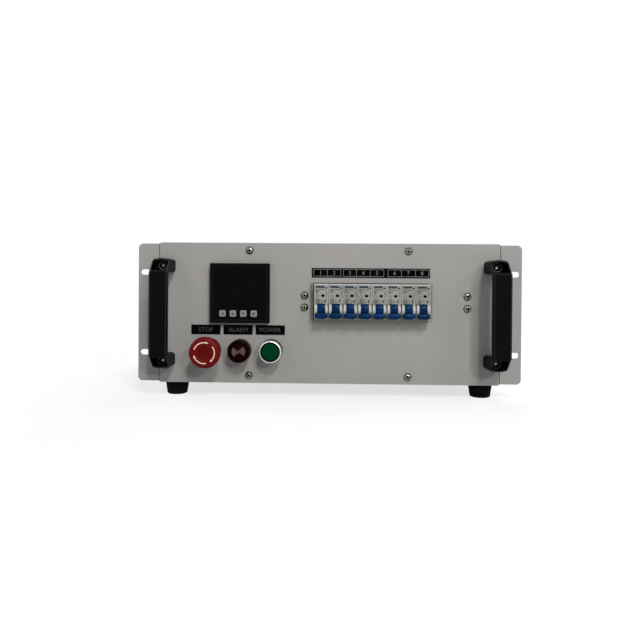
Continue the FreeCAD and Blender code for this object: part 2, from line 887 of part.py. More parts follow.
def front_screws():
    points = crossbar_screw_points() + rail_screw_points()
    return [pan_screw(x, at_rise(rise), panel_face, pan_shank_length) for x, rise in points]


# Feet
def foot(x, y):
    """A tapered rubber foot with a screw recess from below."""
    corners = [(foot_screw_recess_radius, 0), (foot_bottom_radius, 0, foot_edge),
               (foot_top_radius, foot_height - 1.5), (foot_top_radius, foot_height),
               (small_shank_radius + hole_clearance, foot_height),
               (small_shank_radius + hole_clearance, foot_screw_recess_depth),
               (foot_screw_recess_radius, foot_screw_recess_depth)]
    wire = outline(corners, lambda u, v: vec(x + u, y, v))
    return Part.Face(wire).revolve(vec(x, y, 0), vec(0, 0, 1), 360)


def foot_screws():
    made = []
    for x, y in foot_points().values():
        seat = foot_screw_recess_depth
        head = rod_z(x, y, seat - small_head_height, seat, small_head_radius)
        shank = rod_z(x, y, seat, floor_top + small_head_height, small_shank_radius)
        made.append(join(head, shank))
    return made


# Meter
def key_centres():
    middle = (key_count - 1) / 2
    return [(meter_x + key_row_shift + (i - middle) * key_pitch, at_rise(meter_rise + key_row_rise))
            for i in range(key_count)]


def meter_window_back():
    return -meter_reach + meter_window_sunk + meter_window_thickness


def meter_case():
    """The bezel in front of the plate and the body behind it, with pockets for the keys."""
    z = at_rise(meter_rise)
    b, m = meter_size / 2, meter_body_size / 2
    bezel = plate(rectangle(meter_x - b, meter_x + b, z - b, z + b, meter_corner),
                  at_depth(-meter_reach), at_depth(0))
    front_edges = [e for e in bezel.Edges
                   if e.BoundBox.YMax < at_depth(-meter_reach) + 0.01]
    bezel = bezel.makeChamfer(0.8, front_edges)
    body = block(meter_x - m, meter_x + m, at_depth(0), at_depth(meter_body_depth), z - m, z + m)
    w = b - meter_rim
    cuts = [block(meter_x - w, meter_x + w, at_depth(-meter_reach - 1),
                  at_depth(meter_window_back()), z - w, z + w)]
    pocket = key_size / 2 + key_clearance
    floor = -meter_reach - key_proud + meter_window_sunk + key_length + 2 * key_travel
    for x, kz in key_centres():
        cuts.append(block(x - pocket, x + pocket, at_depth(-meter_reach), at_depth(floor),
                          kz - pocket, kz + pocket))
    return cut_all(join(bezel, body), cuts)


def meter_window():
    z = at_rise(meter_rise)
    w = meter_size / 2 - meter_rim - key_clearance / 2
    pane = block(meter_x - w, meter_x + w, at_depth(-meter_reach + meter_window_sunk),
                 at_depth(meter_window_back()), z - w, z + w)
    hole = key_size / 2 + key_clearance
    return cut_all(pane, [block(x - hole, x + hole, at_depth(-meter_reach), at_depth(0),
                                kz - hole, kz + hole) for x, kz in key_centres()])


def meter_key(x, z):
    """A square cap with a softened front edge."""
    half = key_size / 2
    front = -meter_reach + meter_window_sunk - key_proud
    cap = block(x - half, x + half, at_depth(front), at_depth(front + key_length),
                z - half, z + half)
    front_edges = [e for e in cap.Edges if e.BoundBox.YMax < at_depth(front) + 0.01]
    return cap.makeChamfer(0.3, front_edges)


def meter_clamps():
    """Two screw clamps that pull the meter's bezel against the front plate."""
    z = at_rise(meter_rise)
    m = meter_body_size / 2
    made = []
    for side in (-1, 1):
        x = meter_x + side * (m + meter_clamp_thickness / 2)
        x0, x1 = x - meter_clamp_thickness / 2, x + meter_clamp_thickness / 2
        arm_front = panel_back + meter_clamp_screw_length
        half = meter_clamp_height / 2
        arm = block(x0, x1, arm_front, panel_back + meter_clamp_length, z - half, z + half)
        screw = rod_y(x, z, panel_back, arm_front, meter_clamp_screw_radius)
        made.append(join(arm, screw))
    return made


# Emergency stop
def stop_x():
    return control_centres()["stop"]


def ring_nut(x):
    return turned(x, at_rise(control_rise),
                  [(control_shank_radius + hole_clearance, panel_back),
                   (ring_nut_radius, panel_back),
                   (ring_nut_radius, panel_back + ring_nut_thickness),
                   (control_shank_radius + hole_clearance, panel_back + ring_nut_thickness)])


def stop_collar():
    """The ring in front of the plate and the shank through it, bored for the stem."""
    bore = stop_stem_radius + running_clearance
    return turned(stop_x(), at_rise(control_rise),
                  [(bore, at_depth(-stop_collar_height)),
                   (control_collar_radius - 1.5, at_depth(-stop_collar_height)),
                   (control_collar_radius, at_depth(-1.2)), (control_collar_radius, at_depth(0)),
                   (control_shank_radius, at_depth(0)),
                   (control_shank_radius, at_depth(shank_depth)), (bore, at_depth(shank_depth))])


def stop_stem():
    """The plunger that slides in the collar, with the pin that the head turns on."""
    return turned(stop_x(), at_rise(control_rise),
                  [(0, at_depth(-stop_stem_reach - stop_pin_length)),
                   (stop_pin_radius, at_depth(-stop_stem_reach - stop_pin_length)),
                   (stop_pin_radius, at_depth(-stop_stem_reach)),
                   (stop_stem_radius, at_depth(-stop_stem_reach)),
                   (stop_stem_radius, at_depth(shank_depth - 3)),
                   (0, at_depth(shank_depth - 3))])


def stop_head():
    """The mushroom: a hollow neck, a toothed rim and a bevelled flat front."""
    x, z = stop_x(), at_rise(control_rise)
    rim_back = -stop_reach + stop_bevel_height + stop_rim_height
    rim_front = -stop_reach + stop_bevel_height
    pin_bore = stop_pin_radius + running_clearance
    pin_room = -stop_stem_reach - stop_pin_length - 0.3
    seat = -stop_stem_reach - 0.2
    inner = stop_head_radius - stop_tooth_depth
    neck = [(pin_bore, at_depth(seat)), (stop_stem_radius + 0.6, at_depth(seat)),
            (stop_stem_radius + 0.6, at_depth(-stop_neck_reach)),
            (stop_neck_radius, at_depth(-stop_neck_reach)),
            (stop_neck_radius, at_depth(rim_back + 3.0), 4.0),
            (inner, at_depth(rim_back)), (inner, at_depth(rim_front)),
            (stop_bevel_radius, at_depth(-stop_reach)),
            (0, at_depth(-stop_reach)), (0, at_depth(pin_room)), (pin_bore, at_depth(pin_room))]
    body = turned(x, z, neck)
    return join(body, toothed_rim(x, z, at_depth(rim_front), at_depth(rim_back)))


def toothed_rim(x, z, y0, y1):
    """A band whose edge is a ring of small teeth, bored to sit on the mushroom's neck."""
    corners = []
    for i in range(2 * stop_teeth):
        radius = stop_head_radius if i % 2 else stop_head_radius - stop_tooth_depth
        turn = math.pi * i / stop_teeth
        corners.append((x + radius * math.cos(turn), z + radius * math.sin(turn)))
    bored = rod_y(x, z, y0 - 1, y1 + 1, stop_stem_radius + 3)
    return plate(corners, y0, y1).cut(bored)


def contact_block(x, bore_radius, bore_depth):
    """The switch body behind a control, with room in front for what moves."""
    z = at_rise(control_rise)
    y0, y1 = at_depth(shank_depth), at_depth(shank_depth + contact_block_depth)
    w, h = contact_block_width / 2, contact_block_height / 2
    body = plate(rectangle(x - w, x + w, z - h, z + h, 1.5), y0, y1)
    return body.cut(rod_y(x, z, y0 - 1, y0 + bore_depth, bore_radius))


# Buzzer
def buzzer():
    """A round sounder: a domed cap with a bow-tie grille, and its shank and body behind."""
    x, z = control_centres()["buzzer"], at_rise(control_rise)
    front = at_depth(-buzzer_reach)
    corners = [(0, front + buzzer_face_step), (buzzer_face_radius, front + buzzer_face_step),
               (buzzer_face_radius + 0.8, front), (buzzer_radius, front, buzzer_edge),
               (buzzer_radius, at_depth(0)), (control_shank_radius, at_depth(0)),
               (control_shank_radius, at_depth(buzzer_body_depth)), (0, at_depth(buzzer_body_depth))]
    body = turned(x, z, corners)
    floor = front + buzzer_face_step + buzzer_slot_depth
    cuts = []
    for i in range(buzzer_slots):
        inner = buzzer_slot_first + i * buzzer_slot_pitch
        for facing in (0, 180):
            cuts.append(arc_slot(x, z, inner, inner + buzzer_slot_width, facing, front - 1, floor))
    cuts.append(rod_y(x, z, front - 1, floor, buzzer_slot_width))
    return cut_all(body, cuts)


def arc_slot(x, z, inner, outer, facing, y0, y1):
    """A curved slot between two radii, centred on a direction in degrees."""
    def point(radius, degrees):
        turn = math.radians(facing + degrees)
        return vec(x + radius * math.cos(turn), y0, z + radius * math.sin(turn))
    a = buzzer_slot_half_angle
    edges = [Part.Arc(point(outer, -a), point(outer, 0), point(outer, a)).toShape(),
             Part.LineSegment(point(outer, a), point(inner, a)).toShape(),
             Part.Arc(point(inner, a), point(inner, 0), point(inner, -a)).toShape(),
             Part.LineSegment(point(inner, -a), point(outer, -a)).toShape()]
    return Part.Face(Part.Wire(edges)).extrude(vec(0, y1 - y0, 0))


# Power button
def power_bezel():
    """The bright ring round the button, seated on the front plate."""
    x, z = control_centres()["power"], at_rise(control_rise)
    inner = button_sleeve_radius + hole_clearance
    front = at_depth(-button_reach)
    return turned(x, z, [(inner, front + button_bezel_edge), (inner + button_bezel_edge, front),
                         (button_bezel_radius - button_bezel_edge, front),
                         (button_bezel_radius, front + button_bezel_edge),
                         (button_bezel_radius, at_depth(-button_base_height)),
                         (button_base_radius, at_depth(-button_base_height)),
                         (button_base_radius, at_depth(0)), (inner, at_depth(0))])


def power_sleeve():
    """The dark barrel inside the bezel that guides the cap, and its shank through the plate."""
    x, z = control_centres()["power"], at_rise(control_rise)
    bore = button_cap_radius + key_clearance
    floor = -button_reach + button_cap_sunk + button_cap_thickness + button_travel + 0.6
    return turned(x, z, [(bore, at_depth(-button_reach + 0.4)),
                         (button_sleeve_radius, at_depth(-button_reach + 0.4)),
                         (button_sleeve_radius, at_depth(-hole_clearance)),
                         (control_shank_radius, at_depth(-hole_clearance)),
                         (control_shank_radius, at_depth(shank_depth)),
                         (0, at_depth(shank_depth)), (0, at_depth(floor)), (bore, at_depth(floor))])


def power_cap():
    """The push button's cap, gently domed."""
    x, z = control_centres()["power"], at_rise(control_rise)
    front = -button_reach + button_cap_sunk
    dome = 0.5
    y0, y1 = at_depth(front), at_depth(front + button_cap_thickness)
    edges = [Part.Arc(vec(x, y0, z), vec(x + button_cap_radius * 0.55, y0 + dome * 0.3, z),
                      vec(x + button_cap_radius, y0 + dome, z)).toShape(),
             Part.LineSegment(vec(x + button_cap_radius, y0 + dome, z),
                              vec(x + button_cap_radius, y1, z)).toShape(),
             Part.LineSegment(vec(x + button_cap_radius, y1, z), vec(x, y1, z)).toShape(),
             Part.LineSegment(vec(x, y1, z), vec(x, y0, z)).toShape()]
    return Part.Face(Part.Wire(edges)).revolve(vec(x, 0, z), vec(0, 1, 0), 360)


# Legend plates
def legend(x, rise, width):
    w, h = width / 2, legend_height / 2
    z = at_rise(rise)
    return block(x - w, x + w, panel_face - legend_thickness, panel_face, z - h, z + h)


def legends():
    return [legend(legend_x + i * legend_pitch, legend_rise, legend_width) for i in (-1, 0, 1)]


def breaker_strip():
    return legend((breaker_left + breaker_right) / 2 - 0.9, strip_rise, strip_width)


# Breakers
def breaker_centres():
    return [breaker_left + (i + 0.5) * module_pitch for i in range(breaker_count)]


def lever_pivot():
    """(y, z) of the line that every lever turns on."""
    return at_depth(-nose_reach + lever_pivot_sunk), at_rise(breaker_rise - lever_pivot_drop)


def breaker_case(x):
    """A one-pole case: nose, shoulders, rail hooks, a slot for the lever and a flag window."""
    w = (module_pitch - module_gap) / 2
    z = at_rise(breaker_rise)
    nose, tall = nose_height / 2, breaker_height / 2
    front, shoulder = at_depth(-nose_reach), at_depth(nose_depth - nose_reach)
    rail, back = at_depth(rail_plane), at_depth(rail_plane + breaker_hook)
    grip = rail_height / 2 + hole_clearance
    under = rail + rail_thickness + hole_clearance
    side = [(front, z - nose, 0.8), (front, z + nose, 0.8), (shoulder, z + nose),
            (shoulder, z + tall, 1.5), (back, z + tall), (back, z + grip - hook_lip),
            (under, z + grip - hook_lip), (under, z + grip), (rail, z + grip),
            (rail, z - grip), (under, z - grip), (under, z - grip + hook_lip),
            (back, z - grip + hook_lip), (back, z - tall), (shoulder, z - tall, 1.5),
            (shoulder, z - nose)]
    body = bar(side, x - w, x + w)
    py, pz = lever_pivot()
    cheek = rod_x(py, pz, x - w + 0.5, x + w - 0.5, lever_cheek_radius)
    reach = 2 * lever_cheek_radius
    ahead = block(x - w, x + w, front - reach, front + 1, pz - reach, pz + reach)
    body = join(body, cheek.common(ahead))
    slot_half = lever_barrel_width / 2 + lever_side_clearance
    slot = rod_x(py, pz, x - slot_half, x + slot_half, lever_barrel_radius + lever_round_clearance)
    flag_x, flag_z = x + flag_shift, z + flag_rise
    flag = block(flag_x - flag_width / 2, flag_x + flag_width / 2, front - 1, front + flag_depth,
                 flag_z - flag_height / 2, flag_z + flag_height / 2)
    cuts = [slot, flag]
    mouth = clamp_mouth_width / 2
    for side in (-1, 1):
        edge, floor = z + side * (tall + 1), z + side * (tall - clamp_mouth_depth)
        z0, z1 = min(edge, floor), max(edge, floor)
        mouth_y = shoulder + clamp_mouth_inset
        cuts.append(block(x - mouth, x + mouth, mouth_y, mouth_y + clamp_mouth_width, z0, z1))
        cuts.append(rod_y(x, (edge + floor) / 2, shoulder - 1, mouth_y + 1, clamp_screw_radius))
    return cut_all(body, cuts)


def breaker_lever(x):
    """The toggle, hanging down in its off position: a barrel, a neck and a wide thumb pad."""
    py, pz = lever_pivot()
    barrel_half, pad_half = lever_barrel_width / 2, lever_pad_width / 2
    barrel = rod_x(py, pz, x - barrel_half, x + barrel_half, lever_barrel_radius)
    thick = lever_pad_thickness / 2
    neck = block(x - barrel_half, x + barrel_half, py - lever_pad_start - 1, py - 6,
                 pz - thick + 0.8, pz + thick - 0.8)
    pad = bar([(py - lever_pad_start, pz - thick), (py - lever_pad_end, pz - thick, lever_pad_edge),
               (py - lever_pad_end, pz + thick, lever_pad_edge), (py - lever_pad_start, pz + thick)],
              x - pad_half, x + pad_half)
    sides = post([(x - pad_half, py - lever_pad_start), (x + pad_half, py - lever_pad_start),
                  (x + pad_half, py - lever_pad_end, lever_pad_corner),
                  (x - pad_half, py - lever_pad_end, lever_pad_corner)],
                 pz - lever_pad_thickness, pz + lever_pad_thickness)
    lever = join(barrel, neck, pad.common(sides))
    lever.rotate(vec(x, py, pz), vec(1, 0, 0), lever_swing / 2)
    return lever


def cutout_edging():
    """A clip-on strip round the row of breakers, over the raw edge of the front plate."""
    z = at_rise(breaker_rise)
    h = cutout_half_height
    x0, x1 = cutout_left, breaker_right + edging_room
    reach = edging_flange - edging_wall
    lug = edging_flange_thickness
    outer = block(x0 - reach, x1 + reach, panel_face - lug, panel_back + lug,
                  z - h - reach, z + h + reach)
    inner = block(x0 + edging_wall, x1 - edging_wall, panel_face - 5, panel_back + 5,
                  z - h + edging_wall, z + h - edging_wall)
    groove = block(x0 - reach - 1, x1 + reach + 1, panel_face, panel_back,
                   z - h - reach - 1, z + h + reach + 1)
    core = block(x0, x1, panel_face, panel_back, z - h, z + h)
    return outer.cut(inner).cut(groove.cut(core))


def blanking_plate():
    """Closes the two unused places of the cut-out, flush with the front plate."""
    z = at_rise(breaker_rise)
    h = cutout_half_height - hole_clearance
    x0, x1 = breaker_right + edging_room, cutout_right - hole_clearance
    face = block(x0, x1, panel_face, panel_back, z - h, z + h)
    back = panel_back + 2 * edging_flange_thickness
    start = x0 + edging_flange
    tabs = block(start, x1, panel_back, back, z - h - blank_flange, z + h + blank_flange)
    return join(face, tabs)


# Rail and brackets
def din_rail():
    """A top-hat rail behind the breakers."""
    z = at_rise(breaker_rise)
    y = at_depth(rail_plane)
    tall, hat = rail_height / 2, rail_hat_height / 2
    t, deep = rail_thickness, rail_depth
    corners = [(y, z + tall), (y + t, z + tall), (y + t, z + hat), (y + deep, z + hat),
               (y + deep, z - hat), (y + t, z - hat), (y + t, z - tall), (y, z - tall),
               (y, z - hat + t), (y + deep - t, z - hat + t), (y + deep - t, z + hat - t),
               (y, z + hat - t)]
    rail = bar(corners, breaker_row_x - rail_length / 2, breaker_row_x + rail_length / 2)
    return cut_all(rail, [small_hole(rod_y, x, rz, y, y + deep + 1) for x, rz in rail_end_points()])


def rail_bracket(side):
    """A folded channel from the front plate back to the rail's end."""
    x = breaker_row_x + side * rail_screw_span / 2
    z = at_rise(breaker_rise)
    half, t = bracket_width / 2, bracket_thickness
    rail_back = at_depth(rail_plane + rail_depth)
    outer = x + side * half
    inner = x - side * half
    web = outer - side * t
    corners = [(outer, panel_back), (inner, panel_back), (inner, panel_back + t),
               (web, panel_back + t), (web, rail_back), (inner, rail_back),
               (inner, rail_back + t), (outer, rail_back + t)]
    channel = post(corners, z - bracket_height / 2, z + bracket_height / 2)
    holes = [rod_y(sx, at_rise(rise), panel_back - 1, panel_back + t + 1,
                   pan_shank_radius + hole_clearance) for sx, rise in rail_screw_points()]
    holes += [small_hole(rod_y, rx, rz, rail_back - 1, rail_back + t + 1)
              for rx, rz in rail_end_points()]
    return cut_all(channel, holes)


# Resistor bank
def resistor_centres():
    """(y, z) of each tube."""
    return [(at_depth(resistor_first_depth + column * resistor_column_pitch),
             case_bottom + resistor_first_height + row * resistor_row_pitch)
            for row in range(resistor_rows) for column in range(resistor_columns)]


def resistor_tube(y, z):
    half = resistor_length / 2
    tube = rod_x(y, z, -half, half, resistor_radius)
    return tube.cut(rod_x(y, z, -half - 1, half + 1, resistor_bore))


def resistor_rod(y, z):
    """A tie rod that reaches out past both supports."""
    end = resistor_length / 2 + end_cap_thickness + support_thickness + rod_tail
    return rod_x(y, z, -end, end, rod_radius)


def resistor_cap(y, z, side):
    """A ceramic disc with a spigot that centres the tube on its rod."""
    half = resistor_length / 2
    a, b = sorted((side * half, side * (half + end_cap_thickness)))
    disc = rod_x(y, z, a, b, end_cap_radius)
    a, b = sorted((side * (half - end_cap_spigot), side * half))
    spigot = rod_x(y, z, a, b, resistor_bore - hole_clearance)
    bore = rod_x(y, z, -half - support_foot, half + support_foot, rod_radius + hole_clearance)
    return join(disc, spigot).cut(bore)


def rod_nut(y, z, side):
    """The hexagon nut that clamps a tube's stack against the support."""
    inner = resistor_length / 2 + end_cap_thickness + support_thickness
    x0, x1 = sorted((side * inner, side * (inner + rod_nut_thickness)))
    nut = bar(hexagon(y, z, rod_nut_across), x0, x1)
    return nut.cut(rod_x(y, z, x0 - 1, x1 + 1, rod_radius + 0.05))


def resistor_support(side):
    """An upright sheet with a foot, which the tie rods pass through."""
    half = resistor_length / 2 + end_cap_thickness
    x0, x1 = sorted((side * half, side * (half + support_thickness)))
    points = resistor_centres()
    y0 = min(y for y, z in points) - support_margin
    y1 = max(y for y, z in points) + support_margin
    top = max(z for y, z in points) + support_margin
    wall = block(x0, x1, y0, y1, floor_top, top)
    f0, f1 = sorted((side * half, side * (half + support_foot)))
    base = block(f0, f1, y0, y1, floor_top, floor_top + support_thickness)
    holes = [rod_x(y, z, x0 - 1, x1 + 1, rod_radius + hole_clearance) for y, z in points]
    for x, y in support_screw_points():
        holes.append(small_hole(rod_z, x, y, floor_top - 1, floor_top + support_thickness + 1))
    return cut_all(join(wall, base), holes)


# Fans
def fan_frame(x):
    """The square frame, its bore, and the struts that hold the motor at the outlet side."""
    half = fan_size / 2
    z = panel_middle
    y0, y1 = rear_inside - fan_thickness, rear_inside
    body = plate(rectangle(x - half, x + half, z - half, z + half, fan_corner), y0, y1)
    body = body.cut(rod_y(x, z, y0 - 1, y1 + 1, fan_bore_radius))
    motor = rod_y(x, z, y1 - fan_motor_thickness, y1, fan_hub_radius)
    pieces = [body, motor]
    for i in range(fan_struts):
        strut = block(x + fan_hub_radius - 1, x + fan_bore_radius + 1,
                      y1 - fan_strut_thickness, y1, z - fan_strut_width / 2, z + fan_strut_width / 2)
        strut.rotate(vec(x, 0, z), vec(0, 1, 0), fan_strut_angle + 360.0 / fan_struts * i)
        pieces.append(strut)
    cuts = [rod_y(x, z, y1 - fan_motor_thickness - 1, y1 - fan_motor_thickness + fan_shaft_length,
                  fan_shaft_radius + running_clearance)]
    for hx, hz in fan_hole_points(x):
        cuts.append(rod_y(hx, hz, y0 - 1, y1 + 1, small_shank_radius + hole_clearance))
    return cut_all(join(*pieces), cuts)


def fan_blade(x, y0, y1):
    """One blade: a thin bowed sheet, steep inside the hub and flatter at the tip, trimmed round."""
    z = panel_middle
    tip = fan_bore_radius - fan_blade_gap
    inner = (fan_hub_radius / 2, fan_blade_root_chord, fan_blade_root_pitch, 0)
    outer = (fan_bore_radius + 2, fan_blade_tip_chord, fan_blade_tip_pitch, fan_blade_lean)
    sections = []
    for radius, chord, pitch, lean in (inner, outer):
        c, s = math.cos(math.radians(pitch)), math.sin(math.radians(pitch))
        corners = []
        for side, steps in ((1, (-1, 0, 1)), (-1, (1, 0, -1))):
            for step in steps:
                along = step * chord / 2
                across = (1 - step * step) * fan_blade_camber + side * fan_blade_thickness / 2
                corners.append(vec(x + radius, (y0 + y1) / 2 + along * s + across * c,
                                   z + lean + along * c - across * s))
        sections.append(Part.makePolygon(corners + [corners[0]]))
    return Part.makeLoft(sections, True, True).common(rod_y(x, z, y0, y1, tip))


def fan_rotor(x):
    """The hub on its shaft with its ring of blades."""
    z = panel_middle
    motor_front = rear_inside - fan_motor_thickness
    y1 = motor_front - fan_hub_gap
    y0 = rear_inside - fan_thickness + 2.0
    hub = turned(x, z, [(0, y0), (fan_hub_radius - fan_hub_edge, y0),
                        (fan_hub_radius, y0 + fan_hub_edge), (fan_hub_radius, y1), (0, y1)])
    shaft = rod_y(x, z, y1 - 1, motor_front + fan_shaft_length - 1, fan_shaft_radius)
    pieces = [shaft]
    for i in range(fan_blades):
        blade = fan_blade(x, y0 + 1, y1 - 1)
        blade.rotate(vec(x, 0, z), vec(0, 1, 0), 360.0 / fan_blades * i)
        pieces.append(blade)
    return join(hub, *pieces)


def guard_radii():
    """Radius of each ring's middle, evenly spaced from the badge out to the bore's edge."""
    first, last = guard_badge_radius + 10.0, fan_bore_radius - 1.0
    step = (last - first) / (guard_rings - 1)
    return [first + i * step for i in range(guard_rings)]


def fan_guard(x):
    """Wire rings on four arms that end in screw eyes at the fan's corners."""
    z = panel_middle
    y0 = rear_face + guard_stand_off
    y1 = y0 + guard_wire
    half = guard_wire / 2
    pieces = [rod_y(x, z, y0, y1, guard_badge_radius)]
    for radius in guard_radii():
        ring = rod_y(x, z, y0, y1, radius + half).cut(rod_y(x, z, y0 - 1, y1 + 1, radius - half))
        pieces.append(ring)
    eye = fan_hole_span / math.sqrt(2)
    for i in range(4):
        arm = block(x + guard_badge_radius - 1, x + eye - guard_eye_radius, y0 - guard_wire, y0,
                    z - half, z + half)
        leg = block(x + eye - guard_eye_radius - guard_wire, x + eye - guard_eye_radius + 1,
                    rear_face, y0, z - half, z + half)
        tab = rod_y(x + eye, z, rear_face, rear_face + guard_eye_thickness, guard_eye_radius)
        hole = rod_y(x + eye, z, rear_face - 1, rear_face + guard_eye_thickness + 1,
                     small_shank_radius + hole_clearance)
        for piece in (arm, leg, tab.cut(hole)):
            piece.rotate(vec(x, 0, z), vec(0, 1, 0), 45 + 90 * i)
            pieces.append(piece)
    return join(*pieces)


def fan_screws():
    screw = pan_screw(0, 0, 0, 16.0, small_head_radius, small_head_height, small_shank_radius)
    return [turn_to(screw, hx, rear_face + guard_eye_thickness, hz, (0, 1, 0))
            for x in fan_centres().values() for hx, hz in fan_hole_points(x)]


# Terminals and inlet
def terminal_insulator(x):
    """A coloured insulating base with a step that centres it in the rear plate."""
    z = at_rise(terminal_rise)
    bore = stud_shank_radius + hole_clearance
    return turned(x, z, [(bore, rear_inside - 3), (stud_shank_radius + 1.8, rear_inside - 3),
                         (stud_shank_radius + 1.8, rear_face), (terminal_base_radius, rear_face),
                         (terminal_base_radius, rear_face + terminal_base_height - 3),
                         (terminal_base_radius - 3, rear_face + terminal_base_height),
                         (bore, rear_face + terminal_base_height)])


def terminal_stud(x):
    """A brass stud with a hexagon collar, the free thread behind it and a shank to the inside."""
    z = at_rise(terminal_rise)
    y = rear_face + terminal_base_height
    shank = rod_y(x, z, rear_inside - stud_tail, y, stud_shank_radius)
    collar = plate(hexagon(x, z, stud_hex_across), y, y + stud_hex_height)
    thread = rod_y(x, z, y + stud_hex_height, y + stud_hex_height + stud_length, stud_radius)
    return join(shank, collar, thread)


def terminal_nut(x):
    """The hexagon nut and washer that clamp the insulator from inside."""
    z = at_rise(terminal_rise)
    y1 = rear_inside - 3
    nut = plate(hexagon(x, z, stud_hex_across), y1 - 8, y1)
    return nut.cut(rod_y(x, z, y1 - 9, y1 + 1, stud_shank_radius + 0.05))


def inlet_socket_corners(inset=0.0):
    """The socket's six-sided mouth, its two upper corners cut off."""
    w, h = inlet_socket_width / 2 - inset, inlet_socket_height / 2 - inset
    z = at_rise(inlet_rise)
    c = inlet_socket_chamfer
    return [(inlet_x - w, z - h), (inlet_x + w, z - h), (inlet_x + w, z + h - c),
            (inlet_x + w - c, z + h), (inlet_x - w + c, z + h), (inlet_x - w, z + h - c)]


def mains_inlet():
    """A panel-mounted mains inlet: flange, body and the socket that the plug goes into."""
    z = at_rise(inlet_rise)
    fw, fh = inlet_flange_width / 2, inlet_flange_height / 2
    w, h = inlet_body_width / 2, inlet_body_height / 2
    front = rear_face + inlet_flange_thickness
    flange = plate(rectangle(inlet_x - fw, inlet_x + fw, z - fh, z + fh, 2.5), rear_face, front)
    body = block(inlet_x - w, inlet_x + w, front - inlet_body_depth, rear_face, z - h, z + h)
    cuts = [plate(inlet_socket_corners(), front - inlet_socket_depth, front + 1)]
    for side in (-1, 1):
        cuts.append(small_hole(rod_y, inlet_x + side * inlet_screw_span / 2, z,
                               rear_face - 1, front + 1))
    return cut_all(join(flange, body), cuts)


def inlet_pins():
    """The three blades inside the socket, seated on its floor."""
    z = at_rise(inlet_rise)
    floor = rear_face + inlet_flange_thickness - inlet_socket_depth
    w, h = inlet_pin_width / 2, inlet_pin_height / 2
    centres = [(inlet_x - inlet_pin_span / 2, z - inlet_pin_drop),
               (inlet_x + inlet_pin_span / 2, z - inlet_pin_drop),
               (inlet_x, z + inlet_earth_rise)]
    return [block(x - w, x + w, floor, floor + inlet_pin_length, pz - h, pz + h)
            for x, pz in centres]


# Contactor and shunt
def contactor():
    """The switch that takes the load off, on the floor behind the front plate."""
    w = contactor_width / 2
    y0, y1 = at_depth(contactor_depth_start), at_depth(contactor_depth_start + contactor_depth)
    z0, z1 = floor_top, floor_top + contactor_height
    step = contactor_height * 0.55
    side = [(y0, z0), (y1, z0), (y1, z0 + step), (y1 - 14, z0 + step), (y1 - 14, z1),
            (y0 + 14, z1), (y0 + 14, z0 + step), (y0, z0 + step)]
    return bar(side, contactor_x - w, contactor_x + w)


def shunt():
    """Two brass blocks on the floor joined by three thin resistance strips."""
    y = at_depth(shunt_depth_start)
    half = shunt_gap / 2
    pieces = []
    for side in (-1, 1):
        x0, x1 = sorted((shunt_x + side * half, shunt_x + side * (half + shunt_block)))
        pieces.append(block(x0, x1, y, y + shunt_block, floor_top, floor_top + shunt_block))
    for i in range(3):
        z = floor_top + shunt_block * (0.3 + 0.25 * i)
        pieces.append(block(shunt_x - half - 2, shunt_x + half + 2, y + 3, y + shunt_block - 3,
                            z, z + shunt_strip_thickness))
    return join(*pieces)


def build():
    save("chassis_tray", tray())
    save("crossbars", crossbar(panel_back, 1), crossbar(rear_inside, -1))
    save("top_cover", lid())
    save("rear_panel", rear_plate())
    save("front_panel", front_plate())
    ear, handle = right_ear(), right_handle()
    save("right_rack_ear", ear)
    save("left_rack_ear", mirrored(ear))
    save("right_handle", handle)
    save("left_handle", mirrored(handle))
    save("handle_screws", *handle_screws())
    save("front_screws", *front_screws())
    save("case_screws", *case_screws(), *fan_screws())
    save("rubber_feet", *[foot(x, y) for x, y in foot_points().values()])

    save("meter_case", meter_case())
    save("meter_window", meter_window())
    save("meter_clamps", *meter_clamps())
    for i, (x, z) in enumerate(key_centres()):
        save("meter_key_" + str(i + 1), meter_key(x, z))

    save("estop_collar", stop_collar())
    save("estop_stem", stop_stem())
    save("estop_head", stop_head())
    save("estop_contact_block", contact_block(stop_x(), stop_stem_radius + 1, stop_travel + 2))
    save("buzzer", buzzer())
    save("power_button_bezel", power_bezel())
    save("power_button_sleeve", power_sleeve())
    save("power_button_cap", power_cap())
    power_x = control_centres()["power"]
    save("power_contact_block", contact_block(power_x, 3.0, 4.0))
    save("control_ring_nuts", *[ring_nut(x) for x in control_centres().values()])
    save("legend_plates", *legends())
    save("breaker_legend", breaker_strip())

    save("breaker_cases", *[breaker_case(x) for x in breaker_centres()])
    for i, x in enumerate(breaker_centres()):
        save("breaker_lever_" + str(i + 1), breaker_lever(x))
    save("cutout_edging", cutout_edging())
    save("blanking_plate", blanking_plate())
    save("din_rail", din_rail())
    save("rail_brackets", rail_bracket(-1), rail_bracket(1))

    points = resistor_centres()
    save("resistor_tubes", *[resistor_tube(y, z) for y, z in points])
    nuts = [rod_nut(y, z, side) for y, z in points for side in (-1, 1)]
    save("resistor_rods", *[resistor_rod(y, z) for y, z in points], *nuts)
    save("resistor_end_caps", *[resistor_cap(y, z, side) for y, z in points for side in (-1, 1)])
    save("resistor_supports", resistor_support(-1), resistor_support(1))
    centres = fan_centres()
    save("fan_frames", *[fan_frame(x) for x in centres.values()])
    for name, x in centres.items():
        save("fan_rotor_" + name, fan_rotor(x))
    save("fan_guards", *[fan_guard(x) for x in centres.values()])
    for name, x in terminal_points().items():
        save(name + "_terminal_base", terminal_insulator(x))
    studs = [terminal_stud(x) for x in terminal_points().values()]
    nuts = [terminal_nut(x) for x in terminal_points().values()]
    save("terminal_studs", *studs, *nuts)
    save("mains_inlet", mains_inlet())
    save("inlet_pins", *inlet_pins())
    save("contactor", contactor())
    save("shunt", shunt())


build()
